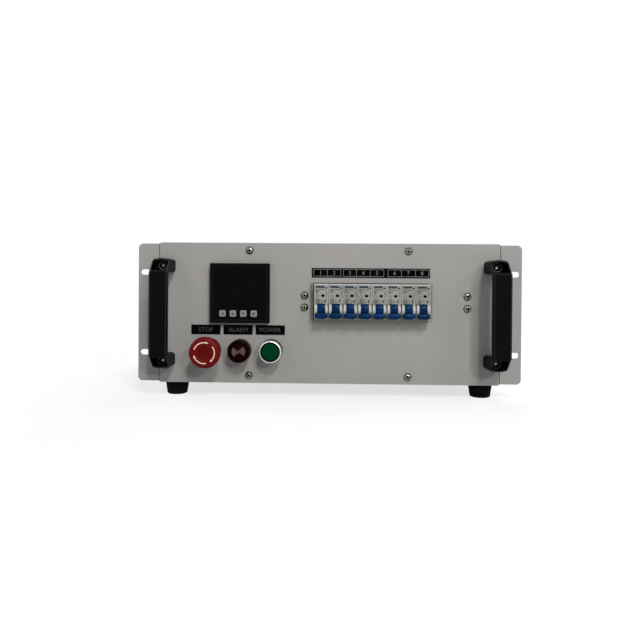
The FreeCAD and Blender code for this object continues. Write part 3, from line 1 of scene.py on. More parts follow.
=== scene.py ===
"""Looks of the rack-mounting load bank: finishes, mouldings, lettering, camera and light.

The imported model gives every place. Shapes are worked out in millimetres and their meshes are in
metres. Finishes, light and camera are in metres, and a small size there is a number times MM.
X runs to the right of a person in front, Y into the case, Z up.
"""
import math

import bmesh
import bpy
import numpy as np
from mathutils import Matrix, Vector


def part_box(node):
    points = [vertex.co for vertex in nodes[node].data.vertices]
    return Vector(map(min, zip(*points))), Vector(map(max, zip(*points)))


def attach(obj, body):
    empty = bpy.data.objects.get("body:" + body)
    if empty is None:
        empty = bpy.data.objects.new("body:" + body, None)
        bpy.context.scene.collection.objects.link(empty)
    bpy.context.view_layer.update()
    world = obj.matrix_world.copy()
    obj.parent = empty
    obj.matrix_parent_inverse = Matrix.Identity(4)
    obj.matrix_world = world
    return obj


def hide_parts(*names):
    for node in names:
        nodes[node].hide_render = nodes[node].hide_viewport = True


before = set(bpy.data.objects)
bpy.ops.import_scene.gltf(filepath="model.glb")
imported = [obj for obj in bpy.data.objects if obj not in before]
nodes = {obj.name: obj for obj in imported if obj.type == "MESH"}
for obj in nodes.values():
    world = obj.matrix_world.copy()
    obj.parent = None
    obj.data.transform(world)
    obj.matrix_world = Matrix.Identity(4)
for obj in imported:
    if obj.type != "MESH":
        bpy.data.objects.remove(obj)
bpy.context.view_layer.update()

MM = 0.001
TURN = 2 * math.pi
TO_RIGHT = (1.0, 0.0, 0.0)
TO_FRONT = (0.0, -1.0, 0.0)
TO_REAR = (0.0, 1.0, 0.0)

# The front plate: the Y of its face and the height of its middle
PANEL_LOW, PANEL_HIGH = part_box("front_panel")
FACE = PANEL_LOW.y
FACE_IN_MM = FACE / MM
MIDDLE = (PANEL_LOW.z + PANEL_HIGH.z) / 2

LEVERS = ["breaker_lever_%d" % number for number in range(1, 9)]
KEYS = ["meter_key_%d" % number for number in range(1, 5)]

# Breakers, in millimetres: the row's middle over the ground, half a nose's height, half the
# opening's height, how far the noses stand before the plate, and half a breaker's width
ROW_MIDDLE = 120.5
NOSE_HALF = 22.5
OPENING_HALF = 23.75
NOSE_REACH = 12.0
BREAKER_HALF = 8.85

# Camera, measured on the photograph: the focal length and the principal point in its pixels
PICTURE = 640
FOCAL = 575.9
PRINCIPAL = (305.6, 283.4)
CAMERA_FROM_PANEL = (-10.8 * MM, -725.7 * MM, 43.4 * MM)
CAMERA_PITCH = 0.00766
CAMERA_YAW = -0.02515
CAMERA_ROLL = -0.00746

# Each lamp's place, as X, Y and the height over the front plate's middle, then the Y that it aims
# at, its width and its power in watts
LAMPS = {
    "high_lamp": (0.6, FACE - 2.4, 2.2, FACE, 0.36, 37.2),
    "steep_lamp": (0.9, FACE - 2.0, 2.4, FACE, 0.3, 22.2),
    "right_lamp": (1.35, FACE - 2.6, 1.25, FACE, 0.3, 20.2),
    "far_right_lamp": (2.2, FACE - 1.5, 1.5, FACE, 0.4, 9.8),
    "left_lamp": (-1.3, FACE - 1.3, 1.0, FACE, 0.5, 3.7),
    "top_lamp": (0.2, 0.3, 1.9, 0.0, 1.2, 9.0),
    "rear_lamp": (0.5, 1.9, 1.1, 0.0, 1.0, 26.0),
    "left_side_lamp": (-2.0, 0.45, 0.9, 0.0, 1.0, 16.0),
    "right_side_lamp": (2.0, 0.45, 0.9, 0.0, 1.0, 16.0),
}
ROOM_LEVEL = 0.14
WHITE = (1.0, 1.0, 1.0, 1.0)

# The floor: half its side, its own glow, and the ring over which it fades into white
FLOOR_HALF = 30.0
FLOOR_GLOW = 0.7
FADE_START = 0.55
FADE_END = 1.5


def tint(colour):
    """A colour seen as three values from 0 to 255, made linear."""
    seen = np.array(colour) / 255
    linear = np.where(seen <= 0.04045, seen / 12.92, ((seen + 0.055) / 1.055) ** 2.4)
    return (*linear.tolist(), 1.0)


class Wire:
    """A node's socket that takes part in sums: each operator adds one Math node."""

    def __init__(self, shading, socket):
        self.shading = shading
        self.socket = socket

    def beside(self, output):
        """Another output of the same node."""
        return Wire(self.shading, self.socket.node.outputs[output])

    def math(self, operation, *values):
        return self.shading.node("ShaderNodeMath", {"operation": operation}, values)

    def __add__(self, other):
        return self.math("ADD", self, other)

    def __sub__(self, other):
        return self.math("SUBTRACT", self, other)

    def __rsub__(self, other):
        return self.math("SUBTRACT", other, self)

    def __mul__(self, other):
        return self.math("MULTIPLY", self, other)

    def __truediv__(self, other):
        return self.math("DIVIDE", self, other)

    def __pow__(self, other):
        return self.math("POWER", self, other)

    def __abs__(self):
        return self.math("ABSOLUTE", self)

    __radd__ = __add__
    __rmul__ = __mul__

    def part(self):
        """What is left of it after its whole number is taken away."""
        return self.math("FRACT", self)

    def clip(self):
        """Kept between 0 and 1."""
        return self.shading.node("ShaderNodeClamp", {}, [self])

    def step(self, low, high):
        """A soft step, 0 up to low and 1 from high."""
        settings = {"interpolation_type": "SMOOTHSTEP"}
        return self.shading.node("ShaderNodeMapRange", settings, [self, low, high, 0.0, 1.0])


class Shading:
    """A node tree, cleared, of a material or of the world."""

    def __init__(self, owner):
        owner.use_nodes = True
        self.tree = owner.node_tree
        self.tree.nodes.clear()

    def feed(self, socket, value):
        if isinstance(value, Wire):
            self.tree.links.new(value.socket, socket)
        else:
            socket.default_value = value

    def node(self, kind, settings, values, output=0):
        """Any node: its settings first, then its sockets by number or by name."""
        made = self.tree.nodes.new(kind)
        for key, value in settings.items():
            setattr(made, key, value)
        pairs = values.items() if isinstance(values, dict) else enumerate(values)
        for key, value in pairs:
            self.feed(made.inputs[key], value)
        return Wire(self, made.outputs[output]) if made.outputs else None

    def seen_directly(self):
        """1 for a ray that comes straight from the camera, a mirror or glass."""
        seen = self.node("ShaderNodeLightPath", {}, {}, "Is Camera Ray")
        glossy = seen.beside("Is Glossy Ray")
        clear = seen.beside("Is Transmission Ray")
        return seen.math("MAXIMUM", seen.math("MAXIMUM", seen, glossy), clear)


class Paint(Shading):
    """A material: one Principled shader and the nodes that feed it."""

    def __init__(self, name, shine=0.5, metallic=0.0):
        self.material = bpy.data.materials.new(name)
        super().__init__(self.material)
        plain = {"Specular IOR Level": shine, "Metallic": metallic}
        self.shader = self.node("ShaderNodeBsdfPrincipled", {}, plain)
        self.place = self.node("ShaderNodeTexCoord", {}, {}, "Object")
        split = self.node("ShaderNodeSeparateXYZ", {}, [self.place])
        self.x, self.y, self.z = [split.beside(axis) for axis in "XYZ"]

    def set(self, key, value):
        self.feed(self.shader.socket.node.inputs[key], value)

    def noise(self, scale, detail=2.0, roughness=0.5, where=None):
        """A cloudy pattern with scale lumps on a metre."""
        values = {"Vector": where or self.place, "Scale": scale, "Detail": detail,
                  "Roughness": roughness}
        return self.node("ShaderNodeTexNoise", {}, values)

    def wear(self, low=0.52, high=0.78):
        """1 on scattered patches the size of a fingertip."""
        return self.noise(60.0, 4.0, 0.6).step(low, high)

    def uneven(self, least, spread, scale):
        """The least, and on the lumps of a pattern up to spread more."""
        return least + spread * self.noise(scale, 3.0)

    def mix(self, factor, *colours):
        """The first colour at 0 and the second at 1, each a link or values from 0 to 255."""
        first, second = [made if isinstance(made, Wire) else tint(made) for made in colours]
        values = {0: factor, 6: first, 7: second}
        return self.node("ShaderNodeMix", {"data_type": "RGBA"}, values, 2)

    def edges(self, radius):
        """1 where the surface turns within the radius, as on a rounded edge, and 0 on a flat."""
        soft = self.node("ShaderNodeBevel", {"samples": 6}, {"Radius": radius * MM})
        true = self.node("ShaderNodeNewGeometry", {}, {}, "Normal")
        dot = {"operation": "DOT_PRODUCT"}
        agree = self.node("ShaderNodeVectorMath", dot, [soft, true], "Value")
        return (1 - agree).step(0.004, 0.09)

    def done(self, surface):
        """The material, with a surface on it."""
        self.node("ShaderNodeOutputMaterial", {}, {"Surface": surface})
        return self.material

    def skin(self, colour, roughness, height, strength, distance):
        """The material, with a colour, a roughness and a relief: its height runs from 0 to 1,
        which stands for distance millimetres."""
        values = {"Strength": strength, "Distance": distance * MM, "Height": height}
        self.set("Base Color", colour)
        self.set("Roughness", roughness)
        self.set("Normal", self.node("ShaderNodeBump", {}, values))
        return self.done(self.shader)


def powder_coat(name, colour, dusk):
    """Sprayed and baked paint: a fine orange peel, faint cloudiness and a soft sheen."""
    paint = Paint(name, shine=0.2)
    cloud = paint.noise(9.0, 3.0)
    speck = paint.noise(1600.0)
    shade = (cloud.step(0.35, 0.7) * 0.6 + speck.step(0.45, 0.62) * 0.4).clip()
    peel = paint.noise(620.0) * 0.7 + paint.noise(2300.0, 1.0) * 0.3
    roughness = paint.uneven(0.46, 0.12, 45.0)
    return paint.skin(paint.mix(shade, dusk, colour), roughness, peel, 0.16, 0.12)


def moulded(name, colour, worn, roughness, grain, depth, shine):
    """A moulded or printed skin with a fine grain: grain is its size in millimetres, depth the
    bump's height."""
    paint = Paint(name, shine=shine)
    shade = paint.mix(paint.wear() * 0.5, colour, worn)
    roughness = paint.uneven(roughness - 0.07, 0.14, 130.0)
    return paint.skin(shade, roughness, paint.noise(1.0 / (grain * MM), 2.0, 0.6), 0.35, depth)


def worn_moulding(name, colour, worn, edge, roughness):
    """Black moulding with worn patches, lighter and smoother along its rounded edges: the lighter
    edge is a painted highlight.
    """
    paint = Paint(name, shine=DULL)
    # A painted highlight along the rounded edges, uneven in strength
    edge_highlight = paint.edges(1.3) * paint.uneven(0.55, 0.45, 220.0)
    shade = paint.mix(edge_highlight, paint.mix(paint.wear() * 0.5, colour, worn), edge)
    roughness = paint.uneven(roughness - 0.1 * edge_highlight, 0.12, 130.0)
    return paint.skin(shade, roughness, paint.noise(1400.0, 2.0, 0.6), 0.3, 0.04)


def polished(name, colour, deep, roughness, shine):
    """Glossy plastic whose colour varies a little, as if with depth."""
    paint = Paint(name, shine=shine)
    shade = paint.mix(paint.noise(40.0).step(0.3, 0.75), deep, colour)
    roughness = paint.uneven(roughness - 0.04, 0.1, 300.0)
    return paint.skin(shade, roughness, paint.noise(900.0, 1.0), 0.05, 0.05)


def stop_skin(name, rim, disc):
    """Red plastic, darker in the middle disc of the mushroom: the colour goes by the distance
    from its axis."""
    paint = Paint(name, shine=0.06)
    low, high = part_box("estop_head")
    across = paint.x - (low.x + high.x) / 2
    upward = paint.z - (low.z + high.z) / 2
    reach = (across * across + upward * upward) ** 0.5
    tone = (reach.step(8.4 * MM, 8.9 * MM) * 0.75 + 0.25 * paint.noise(60.0)).clip()
    roughness = paint.uneven(0.32, 0.1, 300.0)
    return paint.skin(paint.mix(tone, disc, rim), roughness, paint.noise(900.0, 1.0), 0.05, 0.05)


def metal(name, colour, dark, roughness, stretch, blotch=120.0):
    """Bare or plated metal: stretch scales its fine pattern, alike on all axes or brushed along
    one, and blotch is how many darker patches lie on a metre."""
    paint = Paint(name, metallic=1.0)
    scales = np.broadcast_to(stretch, 3).tolist()
    along = paint.node("ShaderNodeMapping", {}, {"Vector": paint.place, "Scale": scales})
    streak = paint.noise(1.0, 4.0, 0.6, along)
    shade = paint.mix(paint.noise(blotch, 3.0).step(0.5, 0.7) * 0.7, colour, dark)
    return paint.skin(shade, roughness - 0.08 + 0.2 * streak, streak, 0.06, 0.05)


def ring_chrome(name, bright, dark):
    """Satin chrome whose lip is bright and whose foot, nearer the plate, is painted dark: a painted
    dark reflection on the ring's side.
    """
    paint = Paint(name, metallic=0.6)
    # The foot's dark colour is a painted reflection, chosen by how far a point lies before the
    # plate
    shade = paint.mix((FACE - paint.y).step(15.5 * MM, 17.5 * MM), dark, bright)
    return paint.skin(shade, paint.uneven(0.28, 0.05, 300.0), paint.noise(200.0), 0.04, 0.05)


def wound_ribbon(name, colour, dark, pitch):
    """Resistance ribbon wound edge to edge along X: a rounded ridge at every pitch."""
    paint = Paint(name, metallic=0.9)
    gap = abs((paint.x / (pitch * MM)).part() - 0.5).step(0.34, 0.48)
    soot = paint.noise(90.0, 3.0) * 0.3
    return paint.skin(paint.mix((gap + soot).clip(), colour, dark), 0.5, 1 - gap, 0.8, 1.2)


def breaker_skin(name, colour, cloudy, cheek):
    """Pale breaker moulding, duller on its printed nose and paler along the top of the noses, with
    a painted highlight on the cheeks that stand prouder beside the lever: the colour goes by the
    height over the ground and by how far a point lies before the plate."""
    paint = Paint(name, shine=SATIN)
    edging_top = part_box("cutout_edging")[1].z
    brow = paint.z.step(edging_top - 4.85 * MM, edging_top - 3.85 * MM)
    # The cheeks' pale colour is a painted highlight; the top of the noses is paler too
    cheek_highlight_and_brow = ((FACE - paint.y).step(12.3 * MM, 13.2 * MM) + brow * 0.8).clip()
    shade = paint.mix(cheek_highlight_and_brow, paint.mix(paint.wear(0.45, 0.7), colour, cloudy), cheek)
    roughness = paint.uneven(0.4, 0.12, 130.0)
    return paint.skin(shade, roughness, paint.noise(1600.0, 2.0, 0.6), 0.3, 0.03)


# How strongly a skin mirrors: inks and dark plastics, and pale or red plastics
DULL = 0.03
SATIN = 0.1

WORN_BLACK = (20, 22, 22)
RED = (102, 13, 12)
DEEP_RED = (84, 9, 9)

# Colour, worn colour, roughness, the grain's size and the bump's height in millimetres, shine
MOULDED = {
    "rubber": ("foot_black_rubber", (9, 10, 10), (24, 24, 23), 0.72, 0.9, 0.1, DULL),
    "switch": ("switch_black", (12, 12, 12), WORN_BLACK, 0.5, 0.5, 0.04, DULL),
    "stem": ("stem_grey", (120, 120, 118), (100, 100, 98), 0.5, 0.5, 0.03, SATIN),
    "key": ("key_grey", (136, 136, 134), (122, 122, 120), 0.55, 0.5, 0.02, SATIN),
    "cream": ("arrow_cream", (222, 200, 184), (206, 184, 168), 0.5, 0.5, 0.01, SATIN),
    "grille": ("buzzer_grille_pink", (96, 84, 85), (78, 67, 68), 0.5, 0.5, 0.02, SATIN),
    "print": ("breaker_print", (38, 42, 40), (54, 58, 55), 0.6, 0.5, 0.01, DULL),
    "blue_print": ("breaker_print_blue", (22, 42, 64), (38, 56, 76), 0.6, 0.5, 0.01, DULL),
    # This grey is a painted highlight on the handles' black bosses
    "rim": ("boss_rim_grey", (88, 90, 90), (74, 76, 76), 0.4, 0.5, 0.02, SATIN),
    "ceramic": ("end_ceramic", (206, 200, 188), (190, 182, 168), 0.7, 1.2, 0.08, SATIN),
    "film": ("legend_black_film", (2, 3, 3), (7, 8, 8), 0.4, 0.3, 0.01, 0.015),
    "gap": ("gap_shade", (22, 22, 21), (30, 30, 29), 0.8, 0.5, 0.01, DULL),
    # This grey is painted shade: between the edging's teeth and between the breakers' cheeks
    "core": ("edging_core_grey", (84, 84, 81), (70, 70, 68), 0.7, 0.5, 0.02, DULL),
    "ink": ("legend_grey_ink", (74, 77, 74), (60, 63, 60), 0.6, 0.4, 0.01, DULL),
    "line": ("strip_line_ink", (162, 168, 162), (136, 142, 138), 0.6, 0.4, 0.01, DULL),
    "number": ("strip_number_ink", (120, 126, 120), (102, 108, 103), 0.6, 0.4, 0.01, DULL),
    "icon": ("key_icon_ink", (92, 92, 92), (104, 104, 104), 0.6, 0.4, 0.01, DULL),
    "edging": ("edging_pale_strip", (150, 149, 145), (136, 135, 131), 0.5, 0.8, 0.04, SATIN),
    "contactor": ("contactor_dark_grey", (62, 64, 66), (80, 82, 84), 0.5, 0.5, 0.03, SATIN),
}

# Colour, deep colour, roughness, shine
POLISHED = {
    "pane": ("meter_smoked_pane", (9, 7, 8), (5, 5, 6), 0.1, DULL),
    "red": ("terminal_red", RED, DEEP_RED, 0.36, SATIN),
    "maroon": ("buzzer_maroon", (25, 2, 3), (18, 1, 2), 0.3, 0.015),
    "green": ("button_green", (0, 60, 33), (0, 52, 28), 0.34, 0.02),
    "lever": ("lever_blue", (5, 46, 88), (3, 34, 66), 0.24, 0.045),
}

# Colour, dark colour, roughness, the fine pattern's stretch, darker patches on a metre
METALS = {
    "chrome": ("bright_chrome", (178, 178, 180), (160, 160, 160), 0.12, 300.0),
    # This steel's colour is a painted glint at the floor of the handles' sockets
    "bright": ("bright_steel", (136, 136, 133), (104, 104, 101), 0.34, 500.0),
    "oxide": ("blackened_steel", (30, 31, 32), (18, 19, 20), 0.3, 500.0),
    # The nickel's dark patches are painted dark reflections on the screw heads
    "nickel": ("nickel_plate", (124, 124, 117), (24, 24, 21), 0.14, 700.0, 380.0),
    "zinc": ("zinc_sheet", (150, 154, 158), (126, 130, 134), 0.36, (40.0, 400.0, 400.0)),
    "brass": ("bare_brass", (186, 156, 92), (146, 116, 62), 0.26, 500.0),
}

paints = {
    "panel": powder_coat("panel_powder_coat", (158, 155, 152), (150, 149, 146)),
    "case": powder_coat("case_powder_coat", (150, 147, 144), (143, 140, 138)),
    # The handles' and the meter's last colour is a painted highlight on their rounded edges
    "handle": worn_moulding("handle_grained_black", (7, 9, 9), WORN_BLACK, (76, 79, 80), 0.3),
    "meter": worn_moulding("meter_grained_black", (6, 7, 7), (12, 13, 13), (30, 34, 34), 0.36),
    "mushroom": stop_skin("stop_red", RED, DEEP_RED),
    # The breakers' last colour is a painted highlight on the cheeks, and paler colour along the top
    # of the noses
    "breaker": breaker_skin("breaker_light_grey", (150, 151, 143), (138, 139, 132),
                            (184, 184, 180)),
    # The ring's dark colour is a painted reflection on its foot
    "ring": ring_chrome("button_ring_chrome", (222, 223, 225), (40, 40, 42)),
    "ribbon": wound_ribbon("resistor_ribbon", (120, 112, 104), (84, 76, 70), 6.0),
}
for finish, table in ((moulded, MOULDED), (polished, POLISHED), (metal, METALS)):
    for key, row in table.items():
        paints[key] = finish(*row)

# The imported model's own nodes, by the finish that each one gets
NODE_PAINTS = {
    "panel": ["front_panel", "blanking_plate", "left_rack_ear", "right_rack_ear"],
    "case": ["chassis_tray", "top_cover", "rear_panel"],
    "zinc": ["crossbars", "rail_brackets", "din_rail", "resistor_supports", "resistor_rods"],
    "handle": ["left_handle", "right_handle"],
    "nickel": ["handle_screws", "front_screws", "case_screws"],
    "rubber": ["rubber_feet"],
    "meter": ["meter_case", "meter_clamps"],
    "pane": ["meter_window"],
    "key": KEYS,
    "switch": ["estop_collar", "estop_contact_block", "power_contact_block", "control_ring_nuts",
               "power_button_sleeve", "fan_frames", "fan_rotor_left", "fan_rotor_right",
               "negative_terminal_base", "mains_inlet"],
    "stem": ["estop_stem"],
    "mushroom": ["estop_head"],
    "maroon": ["buzzer"],
    "chrome": ["power_button_bezel", "fan_guards"],
    "green": ["power_button_cap"],
    "film": ["legend_plates", "breaker_legend"],
    "breaker": ["breaker_cases"],
    "lever": LEVERS,
    "edging": ["cutout_edging"],
    "ribbon": ["resistor_tubes"],
    "ceramic": ["resistor_end_caps"],
    "red": ["positive_terminal_base"],
    "brass": ["terminal_studs", "inlet_pins", "shunt"],
    "contactor": ["contactor"],
}
for paint, names in NODE_PAINTS.items():
    for name in names:
        nodes[name].data.materials.clear()
        nodes[name].data.materials.append(paints[paint])


def box(name):
    """A node's lowest and highest corners and its middle, in millimetres."""
    lowest, highest = [np.array(corner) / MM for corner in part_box(name)]
    return lowest, highest, (lowest + highest) / 2


def add_object(name, data):
    """A new object in the scene, at the origin."""
    made = bpy.data.objects.new(name, data)
    bpy.context.scene.collection.objects.link(made)
    return made


def add_piece(name, mesh, paint, body, slot, *stands_for):
    """A mesh becomes a piece: its finish, the body it rides on and the nodes it stands for.
    The slot of its finish is not used."""
    mesh.materials.append(paints[paint])
    piece = add_object(name, mesh)
    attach(piece, body)
    if stands_for:
        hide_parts(*stands_for)


def make_piece(name, sheets, paint, body, slot, *stands_for, sharp=38.0):
    """One piece out of grids of points in millimetres.

    A sheet has rows, columns and X, Y, Z, and its last column joins its first. Points that meet
    are welded, which closes seams and poles, and then every closed shell has its faces turned
    outwards. Edges that turn by more than sharp degrees stay crisp.
    """
    points = []
    quads = []
    start = 0
    weld = 0.002 * MM
    for sheet in sheets:
        rows, columns = sheet.shape[:2]
        i = np.arange(rows - 1)[:, None] * columns
        j = np.arange(columns)
        k = (j + 1) % columns
        corners = [i + j, i + k, i + columns + k, i + columns + j]
        quads.append(start + np.stack(corners, axis=-1).reshape(-1, 4))
        points.append(sheet.reshape(-1, 3) * MM)
        start += rows * columns
    mesh = bpy.data.meshes.new(name)
    mesh.from_pydata(np.concatenate(points), [], np.concatenate(quads))
    shell = bmesh.new()
    shell.from_mesh(mesh)
    bmesh.ops.remove_doubles(shell, verts=shell.verts, dist=weld)
    bmesh.ops.recalc_face_normals(shell, faces=shell.faces)
    shell.to_mesh(mesh)
    shell.free()
    mesh.polygons.foreach_set("use_smooth", np.ones(len(mesh.polygons), bool))
    mesh.set_sharp_from_angle(angle=math.radians(sharp))
    add_piece(name, mesh, paint, body, slot, *stands_for)


def even_angles(count):
    """A whole turn in even steps, without its end."""
    return TURN * np.arange(count) / count


def points_at(x, y, z):
    """Points from their X, Y and Z, each a number or an array."""
    return np.stack(np.broadcast_arrays(x, y, z), axis=-1)


def capped(grid, start, end):
    """A grid with a pole before its first row and one after its last."""
    poles = [np.broadcast_to(point, (1, *grid.shape[1:])) for point in (start, end)]
    return np.concatenate([poles[0], grid, poles[1]])


def turned(centre, toward, profile, angles=48):
    """A surface of revolution about the line through centre along toward.

    Each row of the profile is a radius and a height: the point goes once round at the angles,
    which are a number of even steps or a list in radians, and lies at the centre plus the radius
    times the way out plus the height times toward. Either may be an array, one for each angle.
    """
    toward = np.asarray(toward, float)
    across = np.array(TO_RIGHT if abs(toward[0]) < 0.5 else TO_REAR)
    up = np.cross(toward, across)
    if np.ndim(angles) == 0:
        angles = even_angles(angles)
    ring = np.cos(angles)[:, None] * across + np.sin(angles)[:, None] * up
    rows = [np.asarray(centre) + np.reshape(radius, (-1, 1)) * ring
            + np.reshape(height, (-1, 1)) * toward for radius, height in profile]
    return np.stack(rows)


def prism(corners, y_back, y_front):
    """A flat shape with a thickness: its outline behind and the same in front, each closed by a
    pole in its middle."""
    corners = np.asarray(corners, float)
    x, z = corners.mean(axis=0)
    outlines = [points_at(corners[:, 0], y, corners[:, 1]) for y in (y_back, y_front)]
    return capped(np.stack(outlines), (x, y_back, z), (x, y_front, z))


def bar(x0, x1, z0, z1, y_back, y_front):
    """A flat rectangle with a thickness."""
    return prism([(x0, z0), (x1, z0), (x1, z1), (x0, z1)], y_back, y_front)


def arc_band(centre, inner, outer, angles, y_back, y_front):
    """A flat band that follows an arc: a four-cornered section goes along the angles, with its
    inner and outer radius given for each, and both ends close in a point."""
    corners = []
    for radius, y in ((inner, y_back), (inner, y_front), (outer, y_front), (outer, y_back)):
        x = centre[0] + radius * np.cos(angles)
        z = centre[2] + radius * np.sin(angles)
        corners.append(points_at(x, y, z))
    grid = np.stack(corners, axis=1)
    return capped(grid, grid[0].mean(axis=0), grid[-1].mean(axis=0))


def tube(path, radius, sides=8):
    """A round wire: a circle is carried along the path, square to it at each of its points."""
    along = np.gradient(path, axis=0)
    along /= np.linalg.norm(along, axis=1, keepdims=True)
    side = np.cross(along, (0.3, 0.1, 0.95))
    side /= np.linalg.norm(side, axis=1, keepdims=True)
    up = np.cross(along, side)
    turn = even_angles(sides)
    ring = np.cos(turn)[None, :, None] * side[:, None] + np.sin(turn)[None, :, None] * up[:, None]
    return capped(path[:, None] + radius * ring, path[0], path[-1])


def hexagon_radius(angles, across):
    """How far a hexagon's edge lies from its middle in each direction: half its width over the
    cosine of the angle from the middle of the nearest side."""
    return across / 2 / np.cos((angles + TURN / 12) % (TURN / 6) - TURN / 12)


def superellipse(half, power, angles, squash=1.0):
    """How far an outline lies from its middle in each direction, where |x| to the power and
    squash |z| to the power add up to half to the power."""
    sides = abs(np.cos(angles)) ** power + (squash * abs(np.sin(angles))) ** power
    return half / sides ** (1 / power)


# A small circle, its last point on its first, for a section that is turned into a ring
ROUND = TURN * np.arange(9) / 8
CIRCLE = np.stack([np.cos(ROUND), np.sin(ROUND)], axis=-1)


def islands(name):
    """The points, in millimetres, of each separate solid of a node.

    Points that share a triangle take the lowest number among them, over and over, until each
    solid has one number.
    """
    mesh = nodes[name].data
    points = np.empty(len(mesh.vertices) * 3)
    mesh.vertices.foreach_get("co", points)
    points = points.reshape(-1, 3) / MM
    corners = np.empty(len(mesh.loops), int)
    mesh.loops.foreach_get("vertex_index", corners)
    merged = np.unique(np.round(points, 3), axis=0, return_inverse=True)[1].ravel()
    triangles = merged[corners].reshape(-1, 3)
    label = np.arange(merged.max() + 1)
    while True:
        least = label[triangles].min(axis=1)
        lowered = label.copy()
        for column in range(3):
            np.minimum.at(lowered, triangles[:, column], least)
        lowered = lowered[lowered]
        if (lowered == label).all():
            break
        label = lowered
    owner = label[merged]
    return [points[owner == number] for number in np.unique(owner)]


def screws(name):
    """Where each screw of a node sits: under its head, the head's way, its radius and height,
    and its shank's radius and length."""
    found = []
    for points in islands(name):
        lowest, highest = points.min(axis=0), points.max(axis=0)
        middle = (lowest + highest) / 2
        axis = int(np.argmax(highest - lowest))
        others = [i for i in range(3) if i != axis]
        reach = np.hypot(*(points[:, others] - middle[others]).T)
        wide = points[reach > reach.max() - 0.05, axis]
        toward = np.zeros(3)
        toward[axis] = 1.0 if wide.mean() > middle[axis] else -1.0
        heights = points[:, axis] * toward[axis]
        seat = (wide * toward[axis]).min()
        shank = reach[heights < seat - 0.5].max()
        under = middle.copy()
        under[axis] = seat * toward[axis]
        found.append((under, toward, reach.max(), heights.max() - seat, shank,
                      seat - heights.min()))
    return found


# A cross recess: half an arm's width over its reach, and the angles that meet its corners, with
# some between them
ARM_SHARE = 0.22
ARM_CORNER = math.atan(ARM_SHARE)
HALF_QUARTER = (0.0, 0.5 * ARM_CORNER, ARM_CORNER, 0.38, 0.56)
QUARTER = (*HALF_QUARTER, TURN / 8, *(TURN / 4 - angle for angle in HALF_QUARTER[:0:-1]))
CROSS_ANGLES = np.array([quarter * TURN / 4 + angle for quarter in range(4) for angle in QUARTER])


def plus_radius(reach):
    """How far the outline of a plus sign lies from its middle at each of CROSS_ANGLES: the nearer
    of an arm's end, reach over the larger of cosine and sine, and an arm's side, half the arm's
    width over the smaller one."""
    sides = np.sort(abs(np.stack([np.cos(CROSS_ANGLES), np.sin(CROSS_ANGLES)])), axis=0)
    return np.minimum(reach / sides[1], reach * ARM_SHARE / np.maximum(sides[0], 1e-6))


def cross_screw(seat, toward, radius, height, shank, length, turn):
    """A domed screw with a cross recess.

    The dome's height is that of the head times the root of 1 - 0.95 (r / R) squared. The rows go
    from the round edge to the outline of a plus sign, and below its rim it narrows.
    """
    plus = plus_radius(0.62 * radius)

    def dome(radii):
        return height * np.sqrt(1 - 0.95 * (radii / radius) ** 2)

    rows = [(0.0, -length), (shank, 0.6 - length), (shank, 0.0), (radius * 0.98, 0.0),
            (radius, 0.12 * height)]
    for share in (0.0, 0.06, 0.25, 0.5, 0.75, 0.95, 1.0):
        radii = radius + (plus - radius) * share
        rows.append((radii, dome(radii)))
    rows += [(plus * 0.93, dome(plus) - 0.12 * height), (plus * 0.45, 0.3 * height),
             (0.0, 0.16 * height)]
    return turned(seat, toward, rows, CROSS_ANGLES + turn)


def make_screws():
    """Domed cross-recess screws, each stopped at its own turn, and the handles' socket screws."""
    turns = np.random.default_rng(7).uniform(0.0, TURN / 4, 200)
    for name in ("front_screws", "case_screws"):
        sheets = [cross_screw(*screw, turn) for screw, turn in zip(screws(name), turns)]
        make_piece(name + "_cross", sheets, "nickel", "case", "screw_nickel", name)
    # Dark sheets in each front screw's cross and a dark ring under its head: painted shade
    sheets = []
    for (seat, toward, radius, height, _, _), turn in zip(screws("front_screws"), turns):
        plus = plus_radius(0.5 * radius)
        recess = [(0.0, height * 0.3), (plus, height * 0.3), (plus, height * 0.52),
                  (0.0, height * 0.52)]
        sheets.append(turned(seat, toward, recess, CROSS_ANGLES + turn))
        skirt = [(radius - 0.4, 0.02), (radius + 0.3, 0.02), (radius + 0.3, 0.3),
                 (radius - 0.4, 0.3)]
        sheets.append(turned(seat, toward, skirt + skirt[:1], 40))
    make_piece("screw_painted_shades", sheets, "gap", "case", "screw_nickel")
    angles = even_angles(72)
    knurl = 0.12 * (np.arange(72) % 2)
    socket = hexagon_radius(angles, 3.6)
    heads = []
    rims = []
    floors = []
    for seat, toward, radius, height, shank, length in screws("handle_screws"):
        rows = [(0.0, -length), (shank, 0.6 - length), (shank, 0.0), (radius - 0.3, 0.0),
                (radius - knurl, 0.3), (radius - knurl, height - 0.6), (radius - 0.6, height),
                (socket + 0.25, height), (socket, height - 0.25), (socket, height - 2.2),
                (0.0, height - 2.6)]
        heads.append(turned(seat, toward, rows, angles))
        # Each grey ring on a boss's rim is a painted highlight on the black handle
        boss = (seat[0], FACE_IN_MM - 16.0, seat[2])
        rims.append(turned(boss, TO_FRONT, 0.5 * CIRCLE + (5.2, 0.0), 48))
        # A bright disc at each socket's floor is a painted glint in the black screw
        rows = [(0.0, height - 1.5), (0.9, height - 1.2), (1.5, height - 1.15),
                (1.5, height - 1.9), (0.0, height - 1.9)]
        floors.append(turned(seat, toward, rows, 24))
    make_piece("handle_socket_screws", heads, "oxide", "case", "screw_nickel", "handle_screws")
    make_piece("handle_boss_rim_highlights", rims, "rim", "case", "handle_black")
    make_piece("handle_socket_glints", floors, "bright", "case", "screw_nickel")


def on_face(name):
    """The middle of a control, on the front plate's face."""
    x, _, z = box(name)[2]
    return np.array((x, FACE_IN_MM, z))


